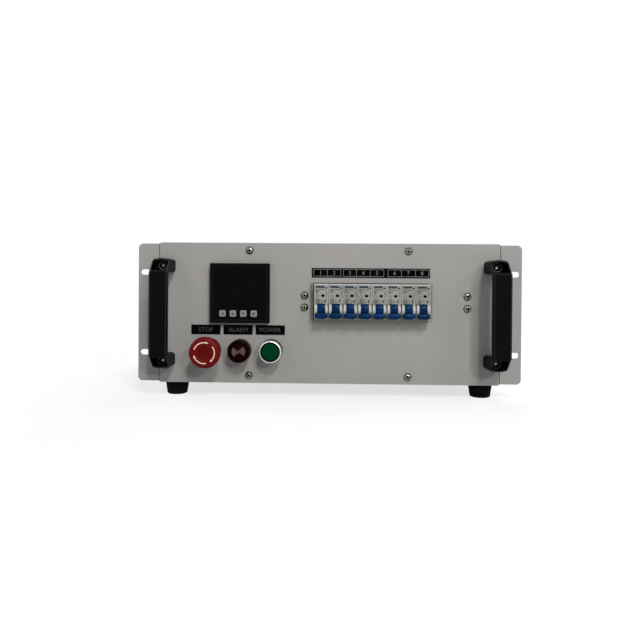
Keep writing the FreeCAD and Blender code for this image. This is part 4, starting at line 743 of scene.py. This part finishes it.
def make_stop():
    """The mushroom: a turned body whose rim is knurled, the radius dipping by a cosine wave of 48
    teeth, and three flat arrows that run clockwise on its face."""
    centre = on_face("estop_head")
    angles = even_angles(192)
    dip = 0.5 + 0.5 * np.cos(48 * angles)
    rows = [(0.0, 28.9), (4.08, 28.9), (4.08, 19.7), (8.1, 19.7), (8.1, 15.5), (12.6, 15.5),
            (13.0, 15.9), (13.0, 21.6), (13.9, 23.9), (15.8, 25.3), (18.6, 25.8),
            (19.3 - 0.7 * dip, 26.2), (19.46 - 0.75 * dip, 27.0), (19.46 - 0.75 * dip, 31.4),
            (19.2 - 0.55 * dip, 32.1), (18.7 - 0.1 * dip, 32.6), (17.4, 33.7), (16.2, 34.5),
            (15.3, 34.9), (14.9, 35.0), (9.1, 35.0), (8.8, 34.85), (8.5, 34.6), (8.0, 34.55),
            (0.0, 34.55)]
    make_piece("stop_mushroom", [turned(centre, TO_FRONT, rows, angles)], "mushroom",
               "estop_button", "stop_red", "estop_head")
    face = centre[1] - 35.0
    radius, line, barb, tip = 12.7, 0.66, 1.6, 0.05
    half = np.array([line] * 24 + [barb, tip])
    sheets = []
    for start, end in ((162, 66), (38, -56), (-79, -168)):
        head = end + 14
        angles = np.radians(np.concatenate([np.linspace(start, head, 24), [head, end]]))
        sheets.append(arc_band(centre, radius - half, radius + half, angles, face + 0.3,
                               face - 0.06))
    make_piece("stop_arrows", sheets, "cream", "estop_button", "stop_red")


def make_buzzer():
    """The sounder: a turned body with a sunken face, and a bow-tie of curved ribs on it."""
    centre = on_face("buzzer")
    sunk = 17.6
    rows = [(0.0, -46.0), (11.0, -46.0), (11.0, 0.0), (14.1, 0.0), (14.1, 16.4), (13.95, 17.3),
            (13.3, 18.3), (12.4, 18.85), (11.7, 19.0), (11.0, 18.85), (10.7, 18.0), (10.5, 17.7),
            (10.2, 17.7), (9.9, 18.1), (9.5, 18.15), (9.2, 17.7), (8.9, sunk), (0.0, sunk)]
    make_piece("buzzer_body", [turned(centre, TO_FRONT, rows, 96)], "maroon", "case",
               "buzzer_maroon", "buzzer")
    floor = centre[1] - sunk
    ring = [(0.9, 0.0), (0.9, 0.55), (1.9, 0.55), (1.9, 0.0), (0.9, 0.0)]
    sheets = [turned((centre[0], floor, centre[2]), TO_FRONT, ring, 32)]
    for facing in (6, 186):
        angles = np.radians(facing + np.linspace(-42, 42, 20))
        for i in range(6):
            inner = 2.7 + 0.98 * i
            sheets.append(arc_band(centre, inner, inner + 0.7, angles, floor + 0.2, floor - 0.55))
        for edge in (-42, 42):
            angles = np.radians(facing + edge + np.linspace(-1.5, 1.5, 3))
            sheets.append(arc_band(centre, 2.0, 8.3, angles, floor + 0.2, floor - 0.45))
    make_piece("buzzer_grille", sheets, "grille", "case", "buzzer_maroon")


def make_button():
    """The power button's ring, turned with a lip that slopes outwards, and its crowned cap, whose
    face falls by the square of the radius."""
    centre = on_face("power_button_bezel")
    bore = 12.34
    rows = [(bore, 0.0), (14.3, 0.0), (14.3, 2.0), (14.1, 2.35), (13.86, 2.4), (13.86, 17.4),
            (13.82, 18.3), (13.68, 18.85), (13.4, 19.2), (13.05, 19.45), (12.7, 19.65),
            (12.5, 19.78), (12.4, 19.78), (bore, 19.66), (bore, 0.0)]
    make_piece("button_ring", [turned(centre, TO_FRONT, rows, 96)], "ring", "case",
               "bright_chrome", "power_button_bezel")
    rows = [(10.2 * share, 19.1 - 0.35 * share ** 2) for share in np.linspace(0.0, 1.0, 10)]
    rows += [(10.7, 18.6), (11.0, 18.2), (11.1, 17.7), (11.1, 12.1), (0.0, 12.1)]
    make_piece("button_cap", [turned(centre, TO_FRONT, rows, 96)], "green", "power_button",
               "button_green", "power_button_cap")


def make_meter_frame():
    """The meter's raised frame: a bead with sloping sides, carried round the square.

    A point of the bead lies a certain way in from the outer edge; at a corner that way is
    diagonal, so the four sides meet in mitres.
    """
    lowest, highest, centre = box("meter_case")
    half = (highest[0] - lowest[0]) / 2
    bead = ((0.35, 8.0), (0.8, 8.35), (1.4, 8.4), (3.4, 8.05), (3.75, 7.6), (3.75, 7.2),
            (0.35, 7.2), (0.35, 8.0))
    corners = np.array(((-1, -1), (1, -1), (1, 1), (-1, 1)))
    rows = []
    for inward, height in bead:
        flat = corners * (half - inward)
        rows.append(points_at(centre[0] + flat[:, 0], FACE_IN_MM - height,
                              centre[2] + flat[:, 1]))
    make_piece("meter_frame_bead", [np.stack(rows)], "meter", "case", "meter_black", sharp=20.0)


def make_ear_seams():
    """A dark strip in the gap between the front plate and each rack ear: painted shade."""
    lowest, highest, _ = box("left_rack_ear")
    gap = box("front_panel")[1][0] + 0.4
    half = 0.36
    sheets = [bar(side * gap - half, side * gap + half, lowest[2], highest[2], FACE_IN_MM + 2.0,
                  FACE_IN_MM + 0.5) for side in (-1, 1)]
    make_piece("ear_seam_painted_shades", sheets, "gap", "case", "case_paint")


def make_blank_seams():
    """Paint that bridges the fine gap round the blanking plate, a little under its face."""
    lowest, highest, _ = box("blanking_plate")
    front = FACE_IN_MM + 0.12
    back = front + 1.0
    low, high = ROW_MIDDLE - OPENING_HALF, ROW_MIDDLE + OPENING_HALF
    right = highest[0] + 0.25
    inset, half = 0.12, 0.14
    sheets = [bar(lowest[0], right, edge - half, edge + half, back, front)
              for edge in (low + inset, high - inset)]
    sheets.append(bar(right - 0.26, right + 0.02, low, high, back, front))
    make_piece("blank_paint_seams", sheets, "panel", "case", "panel_paint")


# Plain signs for the meter's keys, in millimetres from a key's middle: left, up, down and a square
KEY_SIGNS = (
    ((-2.3, 0.0), (1.7, -2.3), (1.7, 2.3)),
    ((-2.3, -1.7), (2.3, -1.7), (0.0, 2.3)),
    ((-2.3, 1.7), (0.0, -2.3), (2.3, 1.7)),
    ((-1.8, -1.8), (1.8, -1.8), (1.8, 1.8), (-1.8, 1.8)),
)


def make_keys():
    """Four rubber keys, each a pillow whose outline is a superellipse, with a plain sign."""
    angles = even_angles(64)
    for number, (node, sign) in enumerate(zip(KEYS, KEY_SIGNS), 1):
        lowest, highest, (x, _, z) = box(node)
        front, back = lowest[1], highest[1]
        tall = back - front
        outline = superellipse(0.94 * (highest[0] - lowest[0]) / 2, 6.0, angles)
        rows = [(0.0, 0.0), (outline, 0.0), (outline, tall - 0.45), (outline * 0.97, tall - 0.2),
                (outline * 0.9, tall - 0.06), (outline * 0.75, tall), (outline * 0.4, tall),
                (0.0, tall)]
        body = "key_%d" % number
        make_piece("key_pillow_%d" % number, [turned((x, back, z), TO_FRONT, rows, angles)],
                   "key", body, "key_grey", node)
        sign = prism(np.add(sign, (x, z)), front + 0.2, front - 0.03)
        make_piece("key_sign_%d" % number, [sign], "icon", body, "key_grey")


def words(name, text, x, z, y, paint, tall):
    """Lettering in Blender's own face, made a mesh and then set upright with its middle at x, z."""
    curve = bpy.data.curves.new(name, "FONT")
    curve.body = text
    curve.extrude = 0.02
    curve.resolution_u = 3
    made = add_object(name + "_curve", curve)
    bpy.context.view_layer.update()
    mesh = bpy.data.meshes.new_from_object(made)
    bpy.data.objects.remove(made)
    points = np.empty(len(mesh.vertices) * 3)
    mesh.vertices.foreach_get("co", points)
    points = points.reshape(-1, 3)
    middle = (points.min(axis=0) + points.max(axis=0)) / 2
    scale = tall / np.ptp(points[:, 1])
    placed = points_at(x + (points[:, 0] - middle[0]) * scale, y - points[:, 2] * scale * 0.5,
                       z + (points[:, 1] - middle[1]) * scale) * MM
    mesh.vertices.foreach_set("co", placed.ravel())
    mesh.update()
    mesh.name = name
    add_piece(name, mesh, paint, "case", "legend_black")


# Where the thin lines of the breakers' number boxes stand, from the strip's left edge
STRIP_GROUPS = ((2.3, 19.4, 36.4), (39.5, 55.9, 73.2, 90.3), (95.3, 112.3, 129.8, 146.5))


def make_legends():
    """Plain words over the controls, and a number in a thin box over each breaker."""
    lowest, highest, middle = box("legend_plates")
    plate_half = 36.8 / 2
    first, last = lowest[0] + plate_half, highest[0] - plate_half
    for i, text in enumerate(("STOP", "ALARM", "POWER")):
        x = first + (last - first) * i / 2
        words("legend_word_%d" % (i + 1), text, x, middle[2], lowest[1], "ink", tall=5.4)
    lowest, _, middle = box("breaker_legend")
    left, front = lowest[:2]
    z = middle[2]
    half, wide = 4.4, 0.32
    lines = []
    number = 0
    for group in STRIP_GROUPS:
        for level in (z - half, z + half - wide):
            lines.append(bar(left + group[0], left + group[-1], level, level + wide, front + 0.1,
                             front - 0.03))
        for edge in group:
            x = left + edge - wide / 2
            lines.append(bar(x, x + wide, z - half, z + half, front + 0.1, front - 0.035))
        for edge, following in zip(group, group[1:]):
            number += 1
            x = left + (edge + following) / 2
            words("strip_number_%d" % number, str(number), x, z, front, "number", tall=4.6)
    make_piece("strip_boxes", lines, "line", "case", "legend_black")


# A toggle's sections outwards from its drum: distance from the pivot, half its width, half its
# thickness and how far its middle is lifted off the line
LEVER_SECTIONS = np.array((
    (6.0, 4.6, 2.0, 0.0), (7.4, 4.7, 2.0, 0.0), (8.3, 4.8, 2.0, 0.0), (9.1, 5.0, 1.95, 0.0),
    (9.6, 5.05, 1.95, 0.0), (9.65, 5.8, 2.0, 0.05), (10.0, 6.9, 2.5, 0.15),
    (10.5, 7.6, 3.1, 0.25), (11.8, 7.95, 3.35, 0.35), (13.2, 7.9, 3.15, 0.25),
    (14.4, 7.5, 2.7, 0.0), (15.2, 6.5, 2.1, -0.25), (15.7, 5.4, 1.4, -0.5),
    (15.95, 3.8, 0.6, -0.65)))
PAD_POWER = 3.2
DRUM_RADIUS = 9.0
HALF_SWING = math.radians(38.0)


def make_levers():
    """Breaker toggles, hanging down at off: a turned drum and a thumb pad.

    The pad is lofted: each section is a superellipse, half its width across and half its
    thickness deep, and its middle goes outwards from the pivot on a line that dips by half the
    lever's swing.
    """
    out = np.array((0.0, -math.cos(HALF_SWING), -math.sin(HALF_SWING)))
    lift = np.array((0.0, -math.sin(HALF_SWING), math.cos(HALF_SWING)))
    angles = even_angles(40)
    across, deep = [np.sign(wave) * abs(wave) ** (2 / PAD_POWER)
                    for wave in (np.cos(angles), np.sin(angles))]
    drum = [(0.0, -4.8), (8.5, -4.8), (8.9, -4.65), (DRUM_RADIUS, -4.3), (DRUM_RADIUS, 4.3),
            (8.9, 4.65), (8.5, 4.8), (0.0, 4.8)]
    reach, width, thickness, rise = [column[:, None] for column in LEVER_SECTIONS.T]
    for number, node in enumerate(LEVERS, 1):
        _, highest, middle = box(node)
        pivot = np.array((middle[0], highest[1] - DRUM_RADIUS, highest[2] - DRUM_RADIUS))
        line = pivot + reach * out + rise * lift
        grid = (line[:, None] + (width * across)[..., None] * TO_RIGHT
                + (thickness * deep)[..., None] * lift)
        pad = capped(grid, line[0], line[-1] + 0.05 * out)
        make_piece("lever_thumb_%d" % number, [turned(pivot, TO_RIGHT, drum, 64), pad], "lever",
                   "lever_%d" % number, "lever_blue", node, sharp=50.0)


# Marks on a breaker's nose: left, right, top and bottom, in millimetres from its left edge and top
NAME_BARS = (
    (2.0, 3.9, 2.4, 5.0), (4.1, 5.7, 2.4, 5.0), (5.9, 8.0, 2.4, 5.0), (8.2, 10.0, 2.4, 5.0),
    (10.2, 12.6, 2.4, 5.0), (13.6, 16.2, 4.0, 5.8))
SMALL_BARS = (
    (1.9, 6.6, 6.3, 7.0), (7.4, 13.6, 6.7, 7.4), (1.9, 5.1, 8.0, 8.8), (1.9, 4.7, 9.4, 10.1),
    (1.9, 5.1, 10.8, 11.5), (15.0, 15.9, 10.4, 12.0), (15.3, 16.3, 12.6, 13.5),
    (15.0, 15.8, 14.2, 15.6), (1.9, 7.6, 18.9, 19.5), (1.9, 7.0, 20.1, 20.7),
    (1.9, 7.8, 21.3, 21.9), (1.9, 6.8, 22.5, 23.1), (1.9, 7.4, 23.6, 24.1), (5.6, 7.6, 8.2, 8.7),
    (5.4, 7.2, 9.6, 10.0), (8.4, 9.9, 19.0, 19.5), (8.3, 9.6, 20.4, 20.9), (1.9, 3.6, 24.6, 25.1),
    (14.9, 16.2, 8.2, 8.8), (9.0, 11.2, 22.3, 23.0), (8.6, 10.0, 23.7, 24.2),
    (14.4, 15.6, 18.4, 19.4), (13.2, 14.6, 23.0, 23.6))
# The middle and the outer and inner radius of its rings and dots
RINGS = ((4.2, 15.6, 1.95, 1.5), (13.4, 21.2, 1.2, 0.1))
INK_OUT = 0.03
INK_UNDER = 0.1


def make_print():
    """Fine plain bars, rings and dots where a breaker's ratings are printed, its little window,
    and dark strips of painted shade in the gaps between the breakers' cheeks."""
    face = FACE_IN_MM - NOSE_REACH
    top = ROW_MIDDLE + NOSE_HALF
    middles = [box(name)[2][0] for name in LEVERS]
    angles = even_angles(32)
    outline = superellipse(2.1, 3.2, angles, 1.35)
    window = [(0.0, -0.3), (outline, -0.3), (outline, 0.05), (0.0, 0.05)]
    window_x, window_z = 10.9, 14.7
    marks = []
    name_bars = []
    windows = []
    for middle in middles:
        left = middle - BREAKER_HALF
        for target, bars in ((name_bars, NAME_BARS), (marks, SMALL_BARS)):
            for x0, x1, z0, z1 in bars:
                target.append(bar(left + x0, left + x1, top - z1, top - z0, face + INK_UNDER,
                                  face - INK_OUT))
        for x, z, outer, inner in RINGS:
            ring = [(inner, -INK_UNDER), (inner, INK_OUT), (outer, INK_OUT), (outer, -INK_UNDER),
                    (inner, -INK_UNDER)]
            marks.append(turned((left + x, face, top - z), TO_FRONT, ring, 24))
        place = (left + window_x, face, top - window_z)
        windows.append(turned(place, TO_FRONT, window, angles))
    make_piece("breaker_marks", marks, "print", "case", "breaker_grey")
    make_piece("breaker_windows", windows, "film", "case", "breaker_grey")
    cheek = box("breaker_cases")[0][1]
    lever_low, lever_high, _ = box(LEVERS[0])
    # Dark strips between the cheeks are painted shade in the gaps
    half = 0.8
    gaps = []
    for before, after in zip(middles, middles[1:]):
        x = (before + after) / 2
        gaps.append(bar(x - half, x + half, lever_low[2] + 0.5, lever_high[2] - 1.0, cheek + 0.4,
                        cheek - INK_OUT))
    make_piece("breaker_cheek_painted_shades", gaps, "core", "case", "breaker_grey")
    make_piece("breaker_name_bars", name_bars, "blue_print", "case", "breaker_grey")


def make_edging():
    """A clip-on strip round the row of breakers, toothed like a comb at the left and the right.

    Its U section is carried round the opening: a point that lies a outside the edge goes to the
    edge's place plus a times the outward way, and at the corners that way is diagonal. On the
    upright sides the outer lip steps in and out with the teeth.
    """
    lowest, highest, centre = box("cutout_edging")
    flange = 1.6
    half_x = (highest[0] - lowest[0]) / 2 - flange
    half_z = (highest[2] - lowest[2]) / 2 - flange
    pitch, tooth = 1.9, 0.6
    root, tip = 1.1, 3.3
    count = int(2 * half_z / pitch)
    teeth = (np.arange(count) + 0.5 - count / 2) * pitch
    comb = np.stack([teeth - tooth, teeth - tooth, teeth + tooth, teeth + tooth], axis=-1).ravel()
    lips = np.tile((root, tip, tip, root), count)
    stations = [(-half_x, -half_z, -1, -1, root)]
    stations += [(-half_x, z, -1, 0, lip) for z, lip in zip(comb, lips)]
    stations += [(-half_x, half_z, -1, 1, root), (half_x, half_z, 1, 1, root)]
    stations += [(half_x, z, 1, 0, lip) for z, lip in zip(comb[::-1], lips[::-1])]
    stations += [(half_x, -half_z, 1, -1, root)]
    x, z, way_x, way_z, lip = np.array(stations + stations[:1]).T
    front, back = FACE_IN_MM, FACE_IN_MM + 3.0
    inside = -0.25
    section = ((inside, front - 0.5), (inside + 0.2, front - 0.8), (lip - 0.25, front - 0.8),
               (lip, front - 0.6), (lip, front), (0.0, front), (0.0, back), (lip, back),
               (lip, back + 0.8), (inside, back + 0.8))
    columns = [points_at(centre[0] + x + a * way_x, y, centre[2] + z + a * way_z)
               for a, y in section]
    make_piece("edging_comb", [np.stack(columns, axis=1)], "edging", "case", "edging_white",
               "cutout_edging", sharp=30.0)
    # Dark strips under the teeth at the left and the right are painted shade between the teeth
    left, right = centre[0] - half_x, centre[0] + half_x
    low, high = centre[2] - half_z, centre[2] + half_z
    sheets = [bar(x0, x1, low, high, front - 0.01, front - 0.12)
              for x0, x1 in ((left - 3.2, left - 0.9), (right + 0.9, right + 3.2))]
    make_piece("edging_core", sheets, "core", "case", "edging_white")


def make_guards():
    """Fan guards of bright wire: rings are a small circle turned round the fan's axis, and four
    arms are a circle carried along a line that bends down to the eyes."""
    lowest, highest, middle = box("fan_guards")
    reach = (highest[2] - lowest[2]) / 2
    wire, ring_height, eye_reach = 0.95, 6.5, 52.5 * math.sqrt(2)
    badge = [(0.0, 5.7), (11.4, 5.7), (12.0, 6.3), (11.6, 7.2), (10.5, 7.4), (0.0, 7.5)]
    arm = np.array(((11.0, 4.6), (30.0, 4.6), (50.0, 4.6), (62.0, 4.6), (65.5, 4.3), (68.0, 3.4),
                    (69.6, 2.2), (70.6, 1.2)))
    eye = CIRCLE * (1.4, 0.58) + (3.2, 0.6)
    sheets = []
    for x in (lowest[0] + reach, highest[0] - reach):
        centre = np.array((x, lowest[1], middle[2]))
        for radius in np.linspace(22.0, 56.0, 4):
            sheets.append(turned(centre, TO_REAR, CIRCLE + (radius, ring_height), 96))
        sheets.append(turned(centre, TO_REAR, badge, 64))
        for i in range(4):
            angle = TURN / 8 + i * TURN / 4
            way = np.array((math.cos(angle), 0.0, math.sin(angle)))
            sheets.append(tube(centre + arm[:, :1] * way + arm[:, 1:] * TO_REAR, wire))
            sheets.append(turned(centre + eye_reach * way, TO_REAR, eye, 32))
    make_piece("fan_wire_guards", sheets, "chrome", "case", "bright_chrome", "fan_guards",
               sharp=60.0)


def make_studs():
    """Brass terminal studs.

    The thread's radius is the stud's less its depth times a triangle wave of height over pitch
    less the turn. The collar and the nut are hexagons whose corners a cone takes off.
    """
    z = box("terminal_studs")[2][2]
    angles = even_angles(48)
    start, end, pitch = 19.0, 41.0, 1.25
    levels = np.linspace(start + 0.3, end - 0.9, 110)
    wave = abs(((levels[:, None] / pitch - angles / TURN) % 1.0) * 2 - 1)
    hexagon = hexagon_radius(angles, 17.0)
    cone = np.minimum(hexagon, 9.2)

    def nut(low, high, hole):
        return [(hole, low), (8.2, low), (cone, low + 0.5), (hexagon, low + 1.0),
                (hexagon, high - 1.0), (cone, high - 0.5), (8.2, high), (hole, high)]

    collar = nut(12.0, start, 5.0)[1:-1]
    thread = zip(3.95 - 0.62 * wave, levels)
    stud = [(0.0, -23.5), (4.6, -23.5), (5.0, -23.1), (5.0, 12.0), *collar, (3.9, start), *thread,
            (2.9, end), (0.0, end)]
    ring = nut(-12.5, -4.5, 5.05)
    wall = box("rear_panel")[1][1]
    sheets = []
    for base in ("positive_terminal_base", "negative_terminal_base"):
        centre = (box(base)[2][0], wall, z)
        sheets.append(turned(centre, TO_REAR, stud, angles))
        sheets.append(turned(centre, TO_REAR, ring + ring[:1], angles))
    make_piece("threaded_studs", sheets, "brass", "case", "brass", "terminal_studs")


def set_camera():
    """The photograph's viewpoint, lens and framing."""
    data = bpy.data.cameras.new("camera")
    data.sensor_width = 36.0
    data.lens = FOCAL / PICTURE * data.sensor_width
    data.shift_x = (PICTURE / 2 - PRINCIPAL[0]) / PICTURE
    data.shift_y = (PRINCIPAL[1] - PICTURE / 2) / PICTURE
    data.clip_start = 0.01
    data.clip_end = 50.0
    camera = add_object("camera", data)
    turn = (Matrix.Rotation(CAMERA_ROLL, 3, "Z") @ Matrix.Rotation(CAMERA_PITCH, 3, "X")
            @ Matrix.Rotation(CAMERA_YAW, 3, "Y"))
    level = Matrix(((1, 0, 0), (0, 0, 1), (0, -1, 0)))
    place = Vector((0, FACE, MIDDLE)) + Vector(CAMERA_FROM_PANEL)
    camera.matrix_world = Matrix.Translation(place) @ (turn @ level).transposed().to_4x4()
    bpy.context.scene.camera = camera


def set_light():
    """Ceiling lamps in front, from above and from the right, soft ones at the sides and behind,
    and a pale room all round."""
    for name, (x, y, rise, target, size, power) in LAMPS.items():
        data = bpy.data.lights.new(name, "AREA")
        data.shape = "DISK"
        data.size = size
        data.energy = power
        place = Vector((x, y, MIDDLE + rise))
        aim = (Vector((0.0, target, MIDDLE)) - place).to_track_quat("-Z", "Y")
        lamp = add_object(name, data)
        lamp.matrix_world = Matrix.Translation(place) @ aim.to_matrix().to_4x4()
    world = bpy.data.worlds.new("room")
    bpy.context.scene.world = world
    room = Shading(world)
    levels = {"Value": room.seen_directly(), "To Min": ROOM_LEVEL, "To Max": 1.0}
    strength = room.node("ShaderNodeMapRange", {}, levels)
    back = room.node("ShaderNodeBackground", {}, {"Color": WHITE, "Strength": strength})
    room.node("ShaderNodeOutputWorld", {}, {"Surface": back})


def set_floor():
    """A wide pale floor that keeps the part's shadow and fades into white further out."""
    mesh = bpy.data.meshes.new("floor")
    corners = [(-1, -1), (1, -1), (1, 1), (-1, 1)]
    mesh.from_pydata([(x * FLOOR_HALF, y * FLOOR_HALF, 0) for x, y in corners], [], [(0, 1, 2, 3)])
    paint = Paint("floor_pale", shine=0.0)
    paint.set("Base Color", tint((140, 140, 140)))
    paint.set("Roughness", 0.9)
    bounce = paint.node("ShaderNodeBsdfDiffuse", {}, {"Color": tint((185, 185, 185))})
    glow = paint.node("ShaderNodeEmission", {}, {"Strength": FLOOR_GLOW})
    lit = paint.node("ShaderNodeAddShader", {}, [paint.shader, glow])
    white = paint.node("ShaderNodeEmission", {}, {"Strength": 1.0})
    reach = (paint.x * paint.x + paint.y * paint.y) ** 0.5
    faded = paint.node("ShaderNodeMixShader", {}, [reach.step(FADE_START, FADE_END), lit, white])
    mixed = paint.node("ShaderNodeMixShader", {}, [paint.seen_directly(), bounce, faded])
    mesh.materials.append(paint.done(mixed))
    add_object("floor", mesh)


set_camera()
set_light()
set_floor()
make_screws()
make_stop()
make_buzzer()
make_button()
make_meter_frame()
make_ear_seams()
make_blank_seams()
make_keys()
make_legends()
make_levers()
make_print()
make_edging()
make_guards()
make_studs()
bpy.context.scene.view_settings.view_transform = "Standard"
